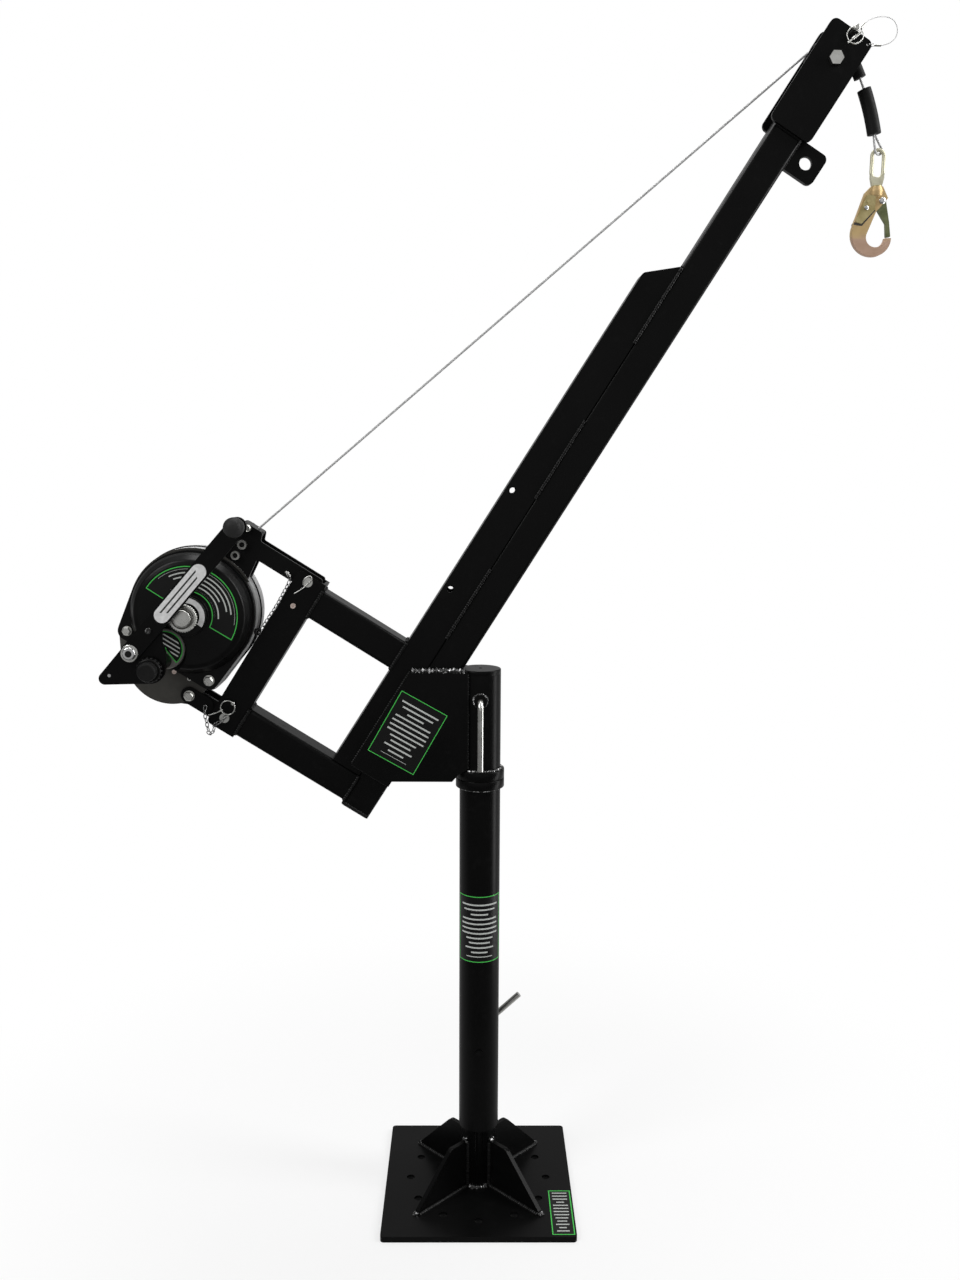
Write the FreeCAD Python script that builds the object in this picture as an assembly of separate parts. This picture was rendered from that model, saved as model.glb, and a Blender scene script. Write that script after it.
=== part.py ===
import FreeCAD, Part
import math
import os

# Fall protection davit: a square-tube boom on a free-standing post, with a rescue winch.
# World frame in millimetres: origin on the post axis at the underside of the base plate,
# Z up, X towards the boom tip, the front of the davit facing -Y.
V = FreeCAD.Vector

# Base plate, stub post and gussets
plate_side = 406.4
plate_thickness = 12.7
plate_corner = 8.0
bolt_circle = 300.0
bolt_hole = 17.5
bolt_count = 12
stub_wall = 6.35
stub_top = 420.0
gusset_thickness = 9.5
gusset_reach = 183.5
gusset_height = 106.5
gusset_shoulder = 86.0
gusset_shoulder_round = 16.0
gusset_toe = 8.0

# Post, its collars and the spindle that the boom turns on
post_diameter = 85.7
post_wall = 4.4
post_bottom = 147.0
swivel_height = 933.5
swivel_gap = 0.3
slip_fit = 0.35
collar_diameter = 101.6
collar_height = 19.3
spindle_wall = 9.0
spindle_plug = 60.0
spindle_length = 214.5
spindle_round = 3.0
sleeve_wall = 6.35
sleeve_length = 222.0
cap_thickness = 9.5
cap_round = 2.5
cap_dimple = 8.0
cap_dimple_depth = 4.0

# Bent locking pins
pin_diameter = 12.7
pin_hole_fit = 0.3
sleeve_pin_rise = 170.5
sleeve_pin_drop = 143.0
sleeve_pin_standoff = 63.0
groove_depth = 5.0
groove_width = 16.0
groove_pin_gap = 1.0
boss_diameter = 26.0
boss_length = 8.0
post_pin_height = 332.0
post_pin_standoff = 64.0
post_pin_handle = 122.0
post_pin_rise = 43.0
post_pin_tip = 4.0
pin_bend = 15.0

# Boom: a main tube with a stiffener along its upper face.
# Along is measured up the boom from where its underside meets the post axis, out is square to it.
boom_angle = 57.9
boom_rise = 68.5
tube_width = 63.5
tube_wall = 4.8
tube_corner = 7.0
boom_foot = -443.0
foot_cap_thickness = 5.0
stiffener_end = 835.0
stiffener_slant = 51.0
stiffener_width = 63.5
stiffener_taper = 4.5
stiffener_round = 12.0
stiffener_hole = 12.7
stiffener_hole_places = (59.0, 293.5)
stiffener_hole_inset = 17.0

# Knee plates between the boom and the sleeve
knee_thickness = 9.5
knee_top_rise = 8.5
knee_bottom_drop = 1.0
knee_out = 88.5
knee_foot = -357.0
knee_inner_edge = -27.0
knee_heel = -58.0
knee_heel_chamfer = (13.0, 15.0)
knee_collar_gap = 4.0

# Winch frame: two bars and an open channel
frame_bottom = -434.5
frame_opening = 225.5
frame_reach = 389.5
channel_wall = 6.35
channel_corner = 10.0
channel_top_overhang = 13.0
channel_bottom_overhang = 6.5

# Fork, sheave and anchor eye at the boom tip
fork_tip = 1362.0
fork_length = 214.0
fork_width = 91.0
fork_thickness = 9.5
fork_corner = 12.0
axle_setback = 61.5
tube_sheave_gap = 6.0
axle_diameter = 15.9
axle_head = 24.0
axle_head_height = 10.0
sheave_pitch_radius = 44.0
sheave_rim_radius = 47.5
sheave_width = 20.0
sheave_hub_radius = 17.0
sheave_side_gap = 0.3
sheave_rim_round = 1.5
sheave_lip_round = 1.0
sheave_groove_flare = 3.6
sheave_groove_round = 1.5
keeper_setback = 9.5
keeper_diameter = 6.4
keeper_standoff = 26.0
keeper_tail = 8.0
keeper_head_diameter = 13.0
keeper_head_length = 12.0
keeper_head_round = 4.0
keeper_neck_round = 1.5
keeper_ring_radius = 15.0
keeper_ring_wire = 2.2
lanyard_hole_inset = 8.0
lanyard_hole = 6.0
lanyard_diameter = 1.6
lanyard_eye_radius = 7.2
ferrule_diameter = 4.2
lanyard_bend_share = 0.45
eye_setback = 20.0
eye_length = 64.0
eye_drop = 64.0
eye_thickness = 12.7
eye_hole = 25.4
eye_corner = 12.0

# Route of the stiff wire lanyard, from the keeper's head round to the ferrule
lanyard_route = [
    V(698.6, -73, 2388.0), V(708, -71, 2396.5), V(719.8, -68, 2403.8), V(733.5, -65, 2408.6),
    V(746.3, -61, 2410.2), V(759.5, -58, 2408.8), V(769.2, -55, 2402.8), V(775.2, -52, 2392.0),
    V(774.6, -49, 2379.5), V(767.3, -46, 2371.2), V(758.4, -43, 2367.4), V(749.2, -40.5, 2366.3)]

# Wire rope, its end fittings and the snap hook
rope_diameter = 4.8
rope_seat_gap = 0.15
rope_start_depth = 20.0
rope_offset = 16.0
hang_drift = 59.8
hang_drop = 221.55
bumper_diameter = 23.0
bumper_length = 34.0
bumper_start = 50.0
bumper_rim_gap = 1.0
sleeve_fit_gap = 0.05
rope_sleeve_diameter = 26.5
rope_sleeve_length = 86.0
eye_height = 25.4
eye_sleeve_gap = 0.8
eye_loop_radius = 9.0
eye_loop_turn = 60.0
eye_loop_slack = 2.2
eye_strand_gap = 0.6
link_width = 30.0
link_bar = 7.6
link_height = 72.0
link_top_round = 14.5
link_shoulder = 27.0
link_shoulder_round = 4.0
link_foot_width = 20.0
link_foot_round = 2.0
link_slot_bottom = 31.0
link_slot_round = 6.9
swivel_stem_radius = 5.0
swivel_neck_height = 9.0
swivel_neck_radius = 10.5
swivel_button_radius = 8.0
swivel_button_height = 4.0
swivel_button_drop = 12.5
hook_thickness = 14.0
hook_cheek = 2.6
gate_thickness = 8.0
gate_side_gap = 1.0
gate_pivot = (10.5, -27.0)
lock_rivet = (-17.0, -29.0)
rivet_diameter = 6.0
rivet_head_diameter = 11.0
rivet_head_height = 1.6

# Outlines of the snap hook about the swivel axis: across, up and corner rounding
hook_head = [(0, -0.3, 0), (11, -0.3, 1), (13, -9, 3), (12, -17, 3), (6, -24, 2), (0, -24, 0)]
hook_back = [(-11, -0.3), (-22, -12), (-43.5, -76)]
hook_bow_outer = [(-43.5, -76), (-30.5, -121), (-3, -131.5)]
hook_nose = [(-3, -131.5), (24.5, -119), (32, -97)]
hook_bow_inner = [(20.5, -97), (-1, -114), (-16.5, -90)]
hook_throat = [(-16.5, -90), (0, -48), (22, -22), (11, -0.3), (-11, -0.3)]
gate_room = [(-9, -16.5, 0), (60, -16.5, 0), (60, -96, 0), (20, -96, 0), (-9, -62, 0)]
gate_outline = [(4.5, -21, 2), (18, -21, 2), (27.5, -66, 3), (31.5, -94, 1.5), (22.5, -95, 1.5),
                (20.5, -70, 4), (3, -44, 5)]
lock_outline = [(-20, -17, 2), (-3, -17, 2), (-3, -44, 4), (-28, -71, 3), (-40.5, -67, 3)]

# Winch housing: the drum stands off from the frame, and a drop or a shift is measured from the drum
drum_rise = 174.5
drum_standoff = 136.5
housing_radius = 131.0
housing_back = -50.0
housing_front = 26.0
gasket_thickness = 3.0
gasket_place = -6.0
lobe_drop = 108.0
lobe_shift = -10.0
lobe_radius = 94.0
ear_radius = 19.0
housing_lip = 3.0
ear_drop = 102.0
left_ear_shift = 93.0
right_ear_shift = -99.0
cover_radius = 127.0
cover_flange = 12.0
cover_face = 72.0
cover_face_radius = 110.0
cover_step = 4.0
cover_step_height = 8.0
cover_step_round = 5.0
cover_crown = 9.0
cover_crown_height = 3.0
cover_crown_round = 6.0
cover_boss_radius = 40.0
cover_boss_height = 18.0
cover_boss_foot = 2.0
cover_boss_round = 3.0
gear_drop = 91.0
gear_shift = 9.0
gear_radius = 42.0
gear_face = 48.0
gear_edge_round = 3.0
gear_recess_gap = 8.0
dial_radius = 27.0
dial_stem_radius = 13.0
dial_stem_height = 23.0
dial_flange = 10.0
dial_flange_height = 6.0
dial_knob_height = 8.0
dial_flange_round = 1.0
dial_top_round = 2.0
arm_thickness = 6.35
arm_height = 36.0
arm_rise = 18.0
arm_fit = 0.5
lower_arm_lift = 2.5
lower_arm_height = 38.0
arm_heel_gap = 4.0
arm_round = 6.0
arm_inner_round = 4.0
arm_cheek_low = 90.0
arm_cheek_slope = 10.0
arm_cheek_front = 60.0
arm_cheek_step = 6.0
arm_cheek_back = 14.0
arm_cheek_taper = 4.0
arm_cheek_round = 10.0
lower_arm_flare = 12.0
lower_arm_end = 50.0
lower_arm_knee = 26.0
mount_pin_diameter = 12.7
mount_pin_head = 20.0
mount_pin_head_height = 7.0
mount_pin_tail = 10.0
guide_width = 44.0
guide_offset = 14.0
guide_round = 4.0
guide_rise = 17.0
rope_bore_gap = 1.6

# Folding rescue crank
hub_drop = 114.0
hub_shift = -1.0
hub_radius = 24.0
hub_shaft_radius = 17.0
hub_height = 16.0
hub_round = 4.0
hub_margin = 4.0
pivot_drop = 106.0
pivot_shift = 48.0
stop_drop = 177.0
stop_shift = 65.0
stop_radius = 12.0
crank_back = 136.0
crank_plate = 8.0
crank_lift = 0.3
arm_plate = 6.35
crank_arm_width = 37.0
crank_arm_length = 326.0
crank_arm_tilt = -9.0
pivot_bolt_radius = 6.5
pivot_head_radius = 13.0
pivot_head_height = 9.0
pivot_head_round = 3.0
grip_radius = 19.5
grip_length = 50.0
grip_waist = 4.0
grip_waist_round = 2.0
grip_swell_height = 24.0
grip_swell_round = 20.0
grip_end_flat = 1.5
grip_pin_radius = 6.0
grip_pin_length = 35.0
grip_bore_length = 37.5
running_gap = 0.3
cut_over = 1.0

# Derived sizes
half_tube = tube_width / 2
stub_radius = post_diameter / 2 - post_wall - slip_fit
post_radius = post_diameter / 2
spindle_radius = post_radius - sleeve_wall - slip_fit
collar_radius = collar_diameter / 2
pin_radius = pin_diameter / 2
spindle_top = swivel_height + spindle_length
sleeve_top = swivel_height + sleeve_length
sleeve_pin_height = swivel_height + sleeve_pin_rise
boom_height = sleeve_top + boom_rise
knee_top = sleeve_top + knee_top_rise
knee_bottom = swivel_height - knee_bottom_drop
lower_bar_top = frame_bottom + tube_width
upper_bar_bottom = lower_bar_top + frame_opening
upper_bar_top = upper_bar_bottom + tube_width
channel_inner = frame_reach - tube_width
stiffener_out = tube_width + stiffener_width
axle_along = fork_tip - axle_setback
keeper_along = fork_tip - keeper_setback
fork_start = fork_tip - fork_length
fork_face = half_tube + fork_thickness
eye_along = fork_start - eye_setback
tube_end = axle_along - sheave_rim_radius - tube_sheave_gap
rope_radius = rope_diameter / 2
drum_along = frame_bottom + drum_rise
drum_out = frame_reach + drum_standoff
lobe_along = drum_along - lobe_drop
lobe_out = drum_out + lobe_shift
ear_along = drum_along - ear_drop
gear_along = drum_along - gear_drop
gear_out = drum_out + gear_shift
arm_top = upper_bar_top + arm_rise
guide_top = arm_top + guide_rise
lower_arm_bottom = frame_bottom + lower_arm_lift
hub_along = drum_along - hub_drop
hub_out = drum_out + hub_shift
pivot_along = drum_along - pivot_drop
pivot_out = drum_out + pivot_shift
stop_along = drum_along - stop_drop
stop_out = drum_out + stop_shift
crank_front = crank_back + crank_plate
arm_back = crank_front + crank_lift
arm_front = arm_back + arm_plate

# The boom's own frame: x along the boom, y out from its underside, z to the front
angle = math.radians(boom_angle)
along_axis = V(math.cos(angle), 0, math.sin(angle))
out_axis = V(-math.sin(angle), 0, math.cos(angle))
front_axis = V(0, -1, 0)
boom_turn = FreeCAD.Rotation(along_axis, out_axis, front_axis, "XYZ")
boom_frame = FreeCAD.Placement(V(0, 0, boom_height), boom_turn)

# The rope leaves the sheave and hangs in an arc that ends upright on the hook's swivel axis
axle_centre = boom_frame.multVec(V(axle_along, half_tube, 0))
hook_reach = axle_centre.x + sheave_pitch_radius + hang_drift
hook_top = axle_centre.z - hang_drop
hang_reach = sheave_pitch_radius + hang_drift
hang_bend = (hang_reach ** 2 + hang_drop ** 2 - sheave_pitch_radius ** 2) / (2 * hang_drift)
hang_centre = V(hook_reach - hang_bend, 0, hook_top)
hang_turn = math.atan2(hang_drop, axle_centre.x - hang_centre.x)
rope_sleeve_end = hang_bend * hang_turn - link_height - eye_height
rope_sleeve_start = rope_sleeve_end - rope_sleeve_length


def front_frame(x=0.0, z=0.0):
    """Frame whose x is world X, y is world Z and z points to the front."""
    return FreeCAD.Placement(V(x, 0, z), FreeCAD.Rotation(V(1, 0, 0), V(0, 0, 1), front_axis, "XYZ"))


def placed(shape, frame):
    moved = shape.copy()
    moved.Placement = frame.multiply(moved.Placement)
    return moved


def rounded_outline(corners):
    """Closed flat wire through (x, y, radius) corners, each rounded by its own radius."""
    count = len(corners)
    tangents = []
    for i, (x, y, radius) in enumerate(corners):
        here = V(x, y, 0)
        back = (V(*corners[i - 1][:2], 0) - here).normalize()
        ahead = (V(*corners[(i + 1) % count][:2], 0) - here).normalize()
        half = back.getAngle(ahead) / 2
        reach = radius / math.tan(half)
        middle = here + (back + ahead).normalize() * (radius / math.sin(half) - radius) if radius else here
        tangents.append((here + back * reach, middle, here + ahead * reach, radius))
    edges = []
    for i, (start, middle, end, radius) in enumerate(tangents):
        before = tangents[i - 1][2]
        if (start - before).Length > 1e-6:
            edges.append(Part.LineSegment(before, start).toShape())
        if radius:
            edges.append(Part.Arc(start, middle, end).toShape())
    return Part.Wire(edges)


def plate(corners, bottom, top):
    """Flat plate of a rounded outline between two heights."""
    face = Part.Face(rounded_outline(corners))
    face.translate(V(0, 0, bottom))
    return face.extrude(V(0, 0, top - bottom))


def rectangle(x0, x1, y0, y1, radius=0.0):
    return [(x0, y0, radius), (x1, y0, radius), (x1, y1, radius), (x0, y1, radius)]


def disc(x, y, radius, bottom, top):
    return Part.makeCylinder(radius, top - bottom, V(x, y, bottom))


def hull_plate(circles, bottom, top):
    """Plate round a ring of (x, y, radius) circles, given counter-clockwise, with tangent sides."""
    tangents = []
    for i, (x, y, radius) in enumerate(circles):
        x2, y2, radius2 = circles[(i + 1) % len(circles)]
        reach = math.hypot(x2 - x, y2 - y)
        heading = math.atan2(y2 - y, x2 - x) - math.acos((radius - radius2) / reach)
        side = V(math.cos(heading), math.sin(heading), 0)
        tangents.append((heading, V(x, y, 0) + side * radius, V(x2, y2, 0) + side * radius2))
    edges = []
    for i, (x, y, radius) in enumerate(circles):
        start_angle, _, start = tangents[i - 1]
        end_angle, end, following = tangents[i]
        sweep = (end_angle - start_angle) % (2 * math.pi)
        middle_angle = start_angle + sweep / 2
        middle = V(x + radius * math.cos(middle_angle), y + radius * math.sin(middle_angle), 0)
        edges.append(Part.Arc(start, middle, end).toShape())
        edges.append(Part.LineSegment(end, following).toShape())
    face = Part.Face(Part.Wire(edges))
    face.translate(V(0, 0, bottom))
    return face.extrude(V(0, 0, top - bottom))


def turned(corners, x=0.0, y=0.0):
    """Body turned about the z axis through (x, y) from (radius, height, rounding) corners."""
    face = Part.Face(rounded_outline(corners))
    face.rotate(V(0, 0, 0), V(1, 0, 0), 90)
    body = face.revolve(V(0, 0, 0), V(0, 0, 1), 360)
    body.translate(V(x, y, 0))
    return body


def ring_tube(outer, inner, bottom, top):
    return disc(0, 0, outer, bottom, top).cut(disc(0, 0, inner, bottom - cut_over, top + cut_over))


def square_bar(length, width, radius):
    """Square bar along x from the origin, its section centred on the axis."""
    bar = plate(rectangle(-width / 2, width / 2, -width / 2, width / 2, radius), 0, length)
    bar.rotate(V(0, 0, 0), V(0, 1, 0), 90)
    return bar


def square_tube(length):
    inner = square_bar(length + 2 * cut_over, tube_width - 2 * tube_wall, tube_corner - tube_wall)
    inner.translate(V(-cut_over, 0, 0))
    return square_bar(length, tube_width, tube_corner).cut(inner)


def rod(points, diameter, bend):
    """Round rod through points, with bends of one radius between its straight runs."""
    return swept(bent_path(points, [bend] * (len(points) - 2)), diameter / 2)


def bent_path(points, bends):
    """Straight runs joined by tangent arcs, one bend radius for each inner point."""
    edges = []
    last = points[0]
    for before, here, after, bend in zip(points, points[1:], points[2:], bends):
        back = (before - here).normalize()
        ahead = (after - here).normalize()
        half = back.getAngle(ahead) / 2
        reach = bend / math.tan(half)
        start = here + back * reach
        middle = here + (back + ahead).normalize() * (bend / math.sin(half) - bend)
        end = here + ahead * reach
        edges.append(Part.LineSegment(last, start).toShape())
        edges.append(Part.Arc(start, middle, end).toShape())
        last = end
    edges.append(Part.LineSegment(last, points[-1]).toShape())
    return Part.Wire(edges)


def swept(path, radius):
    """Round section carried along a wire of tangent edges."""
    first = path.OrderedEdges[0]
    start = first.valueAt(first.FirstParameter)
    heading = first.tangentAt(first.FirstParameter)
    section = Part.Wire(Part.makeCircle(radius, start, heading))
    return path.makePipeShell([section], True, False)


def hexagon(x, y, across, bottom, top):
    corner = across / math.sqrt(3)
    places = [math.radians(60 * i) for i in range(6)]
    return plate([(x + corner * math.cos(a), y + corner * math.sin(a), 0) for a in places], bottom, top)


nodes = {}


def make_base():
    half = plate_side / 2
    slab = plate(rectangle(-half, half, -half, half, plate_corner), 0, plate_thickness)
    for i in range(bolt_count):
        turn = 2 * math.pi * i / bolt_count
        x = bolt_circle / 2 * math.cos(turn)
        y = bolt_circle / 2 * math.sin(turn)
        slab = slab.cut(disc(x, y, bolt_hole / 2, -cut_over, plate_thickness + cut_over))
    nodes["base_plate"] = slab
    stub = ring_tube(stub_radius, stub_radius - stub_wall, plate_thickness, stub_top)
    nodes["stub_post"] = stub.cut(cross_bore(post_pin_height, pin_radius + pin_hole_fit))
    top = plate_thickness + gusset_height
    profile = [(stub_radius / 2, plate_thickness, 0), (gusset_reach, plate_thickness, 0),
               (gusset_reach, plate_thickness + gusset_toe, 0),
               (gusset_shoulder, top, gusset_shoulder_round), (stub_radius / 2, top, 0)]
    web = placed(plate(profile, -gusset_thickness / 2, gusset_thickness / 2), front_frame())
    web = web.cut(disc(0, 0, stub_radius, 0, stub_top))
    for i, name in enumerate(("rear_right", "rear_left", "front_left", "front_right")):
        gusset = web.copy()
        gusset.rotate(V(0, 0, 0), V(0, 0, 1), 45 + 90 * i)
        nodes["gusset_" + name] = gusset


def cross_bore(height, radius, reach=200.0):
    """Straight hole from front to back through the post axis."""
    return Part.makeCylinder(radius, 2 * reach, V(0, -reach, height), V(0, 1, 0))


def make_post():
    post = ring_tube(post_radius, post_radius - post_wall, post_bottom, swivel_height)
    nodes["post"] = post.cut(cross_bore(post_pin_height, pin_radius + pin_hole_fit))
    collar_bottom = swivel_height - collar_height
    nodes["post_collar"] = ring_tube(collar_radius, post_radius, collar_bottom, swivel_height)
    plug_radius = post_radius - post_wall
    plug_bottom = swivel_height - spindle_plug
    bore = spindle_radius - spindle_wall
    groove_low = sleeve_pin_height - groove_width / 2
    groove_high = sleeve_pin_height + groove_width / 2
    groove_radius = spindle_radius - groove_depth
    nodes["swivel_spindle"] = turned([
        (bore, plug_bottom, 0), (plug_radius, plug_bottom, 0), (plug_radius, swivel_height, 0),
        (spindle_radius, swivel_height, 0), (spindle_radius, groove_low, 0), (groove_radius, groove_low, 0),
        (groove_radius, groove_high, 0), (spindle_radius, groove_high, 0),
        (spindle_radius, spindle_top, spindle_round), (bore, spindle_top, 0)])
    rise = math.radians(post_pin_rise)
    handle = V(math.cos(rise), 0, math.sin(rise)) * post_pin_handle
    corner = V(0, post_pin_standoff, post_pin_height)
    nodes["post_pin"] = rod([V(0, -post_radius - post_pin_tip, post_pin_height), corner, corner + handle],
                            pin_diameter, pin_bend)


def make_sleeve():
    bottom = swivel_height + swivel_gap
    sleeve = ring_tube(post_radius, post_radius - sleeve_wall, bottom, sleeve_top)
    pin_line = V(0, 0, sleeve_pin_height)
    bore = Part.makeCylinder(pin_radius + pin_hole_fit, 2 * post_radius, pin_line, front_axis)
    nodes["boom_sleeve"] = sleeve.cut(bore)
    nodes["sleeve_collar"] = ring_tube(collar_radius, post_radius, bottom, bottom + collar_height)
    cap_top = sleeve_top + cap_thickness
    cap = turned([(0, sleeve_top, 0), (post_radius, sleeve_top, 0), (post_radius, cap_top, cap_round),
                  (0, cap_top, 0)])
    cap = cap.cut(disc(0, 0, cap_dimple / 2, cap_top - cap_dimple_depth, cap_top + cut_over))
    nodes["sleeve_cap"] = cap.cut(placed(boom_core(), boom_frame))
    groove_radius = spindle_radius - groove_depth
    tip = V(0, -groove_radius - groove_pin_gap, sleeve_pin_height)
    corner = V(0, -sleeve_pin_standoff, sleeve_pin_height)
    nodes["sleeve_pin"] = rod([tip, corner, corner - V(0, 0, sleeve_pin_drop)], pin_diameter, pin_bend)
    boss_reach = post_radius + boss_length
    boss = Part.makeCylinder(boss_diameter / 2, boss_reach, pin_line, front_axis)
    boss = boss.cut(bore).cut(disc(0, 0, post_radius, 0, sleeve_top))
    nodes["sleeve_pin_boss"] = boss


def boom_core():
    """Outer form of the main tube, to trim what butts against it."""
    core = square_bar(tube_end - boom_foot, tube_width, tube_corner)
    core.translate(V(boom_foot, half_tube, 0))
    return core


def make_boom():
    tube = square_tube(tube_end - boom_foot - foot_cap_thickness)
    tube.translate(V(boom_foot + foot_cap_thickness, half_tube, 0))
    nodes["boom_tube"] = placed(tube, boom_frame)
    cap = square_bar(foot_cap_thickness, tube_width, tube_corner)
    cap.translate(V(boom_foot, half_tube, 0))
    nodes["boom_foot_cap"] = placed(cap, boom_frame)
    nodes["boom_stiffener"] = placed(stiffener(), boom_frame)


def stiffener():
    """Box stiffener that narrows a little towards its slanted, closed upper end."""
    high_out = stiffener_out - stiffener_taper
    outline = [(lower_bar_top, tube_width, 0), (stiffener_end, tube_width, 0),
               (stiffener_end - stiffener_slant, high_out, stiffener_round),
               (lower_bar_top, stiffener_out, 0)]
    box = plate(outline, -half_tube, half_tube)
    slant = math.hypot(stiffener_slant, high_out - tube_width)
    setback = tube_wall * slant / (high_out - tube_width)
    hollow_end = stiffener_end - setback - stiffener_slant * tube_wall / (high_out - tube_width)
    hollow = [(lower_bar_top - cut_over, tube_width + tube_wall, 0), (hollow_end, tube_width + tube_wall, 0),
              (stiffener_end - stiffener_slant - setback, high_out - tube_wall, 0),
              (lower_bar_top - cut_over, stiffener_out - tube_wall, 0)]
    box = box.cut(plate(hollow, tube_wall - half_tube, half_tube - tube_wall))
    for place in stiffener_hole_places:
        inset = stiffener_out - stiffener_hole_inset
        box = box.cut(disc(place, inset, stiffener_hole / 2, -tube_width, tube_width))
    return box


def make_knee():
    """Two plates that carry the boom on the sleeve, trimmed round the sleeve and its collar."""
    def on_boom(along, out):
        spot = boom_frame.multVec(V(along, out, 0))
        return (spot.x, spot.z, 0)

    top_along = (knee_top - boom_height - out_axis.z * knee_out) / along_axis.z
    heel_along = (knee_bottom - boom_height) / along_axis.z
    collar_top = swivel_height + swivel_gap + collar_height
    outline = [on_boom(top_along, knee_out), on_boom(knee_foot, knee_out), on_boom(knee_foot, 0),
               on_boom(heel_along, 0), (knee_heel, knee_bottom, 0),
               (knee_heel + knee_heel_chamfer[0], knee_bottom + knee_heel_chamfer[1], 0),
               (knee_inner_edge, collar_top + knee_collar_gap, 0), (knee_inner_edge, knee_top, 0)]
    post_core = disc(0, 0, post_radius, 0, knee_top + cut_over)
    collar_core = disc(0, 0, collar_radius, 0, collar_top)
    for name, low in (("front", half_tube), ("back", -half_tube - knee_thickness)):
        knee = placed(plate(outline, low, low + knee_thickness), front_frame())
        nodes["knee_plate_" + name] = knee.cut(post_core).cut(collar_core)


def make_winch_frame():
    bars = (("upper", upper_bar_bottom, stiffener_out), ("lower", frame_bottom, tube_width))
    for name, low, start in bars:
        bar = square_tube(channel_inner - start)
        bar.rotate(V(0, 0, 0), V(0, 0, 1), 90)
        bar.translate(V(low + half_tube, start, 0))
        if name == "upper":
            bar = bar.cut(stiffener_envelope())
        nodes["frame_bar_" + name] = placed(bar, boom_frame)
    low = frame_bottom - channel_bottom_overhang
    high = upper_bar_top + channel_top_overhang
    outline = [(low, channel_inner, 0), (high, channel_inner, 0), (high, frame_reach, channel_corner),
               (low, frame_reach, channel_corner)]
    inner = half_tube - channel_wall
    channel = plate(outline, -half_tube, half_tube)
    room = rectangle(low - cut_over, high + cut_over, channel_inner + channel_wall, frame_reach + cut_over)
    channel = channel.cut(plate(room, -inner, inner))
    pin_hole = mount_pin_diameter / 2 + pin_hole_fit
    for along, out in mount_pin_places():
        channel = channel.cut(disc(along, out, pin_hole, -tube_width, tube_width))
    nodes["frame_channel"] = placed(channel, boom_frame)


def stiffener_envelope():
    """Room that the tapering stiffener takes above the boom."""
    high_out = stiffener_out - stiffener_taper
    return plate([(lower_bar_top, tube_width, 0), (stiffener_end, tube_width, 0),
                  (stiffener_end - stiffener_slant, high_out, 0), (lower_bar_top, stiffener_out, 0)],
                 -tube_width, tube_width)


def mount_pin_places():
    """Where the two pins hold the winch arms in the frame channel."""
    middle = (channel_inner + channel_wall + frame_reach) / 2
    return ((arm_top - arm_height / 2, middle), (lower_arm_bottom + lower_arm_height / 2, middle))


def make_fork():
    low = half_tube - fork_width / 2
    high = half_tube + fork_width / 2
    blank = plate(rectangle(fork_start, fork_tip, low, high, fork_corner), half_tube, fork_face)
    blank = blank.cut(disc(axle_along, half_tube, axle_diameter / 2, 0, 2 * tube_width))
    blank = blank.cut(disc(keeper_along, half_tube, keeper_diameter / 2 + pin_hole_fit, 0, 2 * tube_width))
    corner_hole = (fork_tip - lanyard_hole_inset, low + lanyard_hole_inset)
    blank = blank.cut(disc(*corner_hole, lanyard_hole / 2, 0, 2 * tube_width))
    nodes["fork_plate_front"] = placed(blank, boom_frame)
    back = blank.copy()
    back.translate(V(0, 0, -fork_face - half_tube))
    nodes["fork_plate_back"] = placed(back, boom_frame)
    eye = plate([(eye_along - eye_length / 2, 0, 0), (eye_along - eye_length / 2, -eye_drop, eye_corner),
                 (eye_along + eye_length / 2, -eye_drop, eye_corner), (eye_along + eye_length / 2, 0, 0)],
                -eye_thickness / 2, eye_thickness / 2)
    eye = eye.cut(disc(eye_along, -eye_drop / 2, eye_hole / 2, -eye_thickness, eye_thickness))
    nodes["anchor_eye"] = placed(eye, boom_frame)


def make_sheave():
    groove = sheave_pitch_radius - rope_radius - rope_seat_gap
    half = sheave_width / 2
    hub = half_tube - sheave_side_gap
    bore = axle_diameter / 2 + slip_fit
    rope_room = rope_radius + rope_seat_gap
    side = [(bore, -hub, 0), (sheave_hub_radius, -hub, 0), (sheave_hub_radius, -half, 0),
            (sheave_rim_radius, -half, sheave_rim_round),
            (sheave_rim_radius, -rope_room - sheave_groove_flare / 2, sheave_lip_round),
            (groove, -rope_room + sheave_groove_flare / 6, sheave_groove_round)]
    mirrored = [(radius, -height, rounding) for radius, height, rounding in reversed(side)]
    sheave = turned(side + mirrored, axle_along, half_tube)
    nodes["sheave"] = placed(sheave, boom_frame)
    shank = disc(axle_along, half_tube, axle_diameter / 2, -fork_face, fork_face)
    head = hexagon(axle_along, half_tube, axle_head, fork_face, fork_face + axle_head_height)
    nut = hexagon(axle_along, half_tube, axle_head, -fork_face - axle_head_height, -fork_face)
    nodes["sheave_axle"] = placed(shank.fuse([head, nut]).removeSplitter(), boom_frame)


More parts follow.
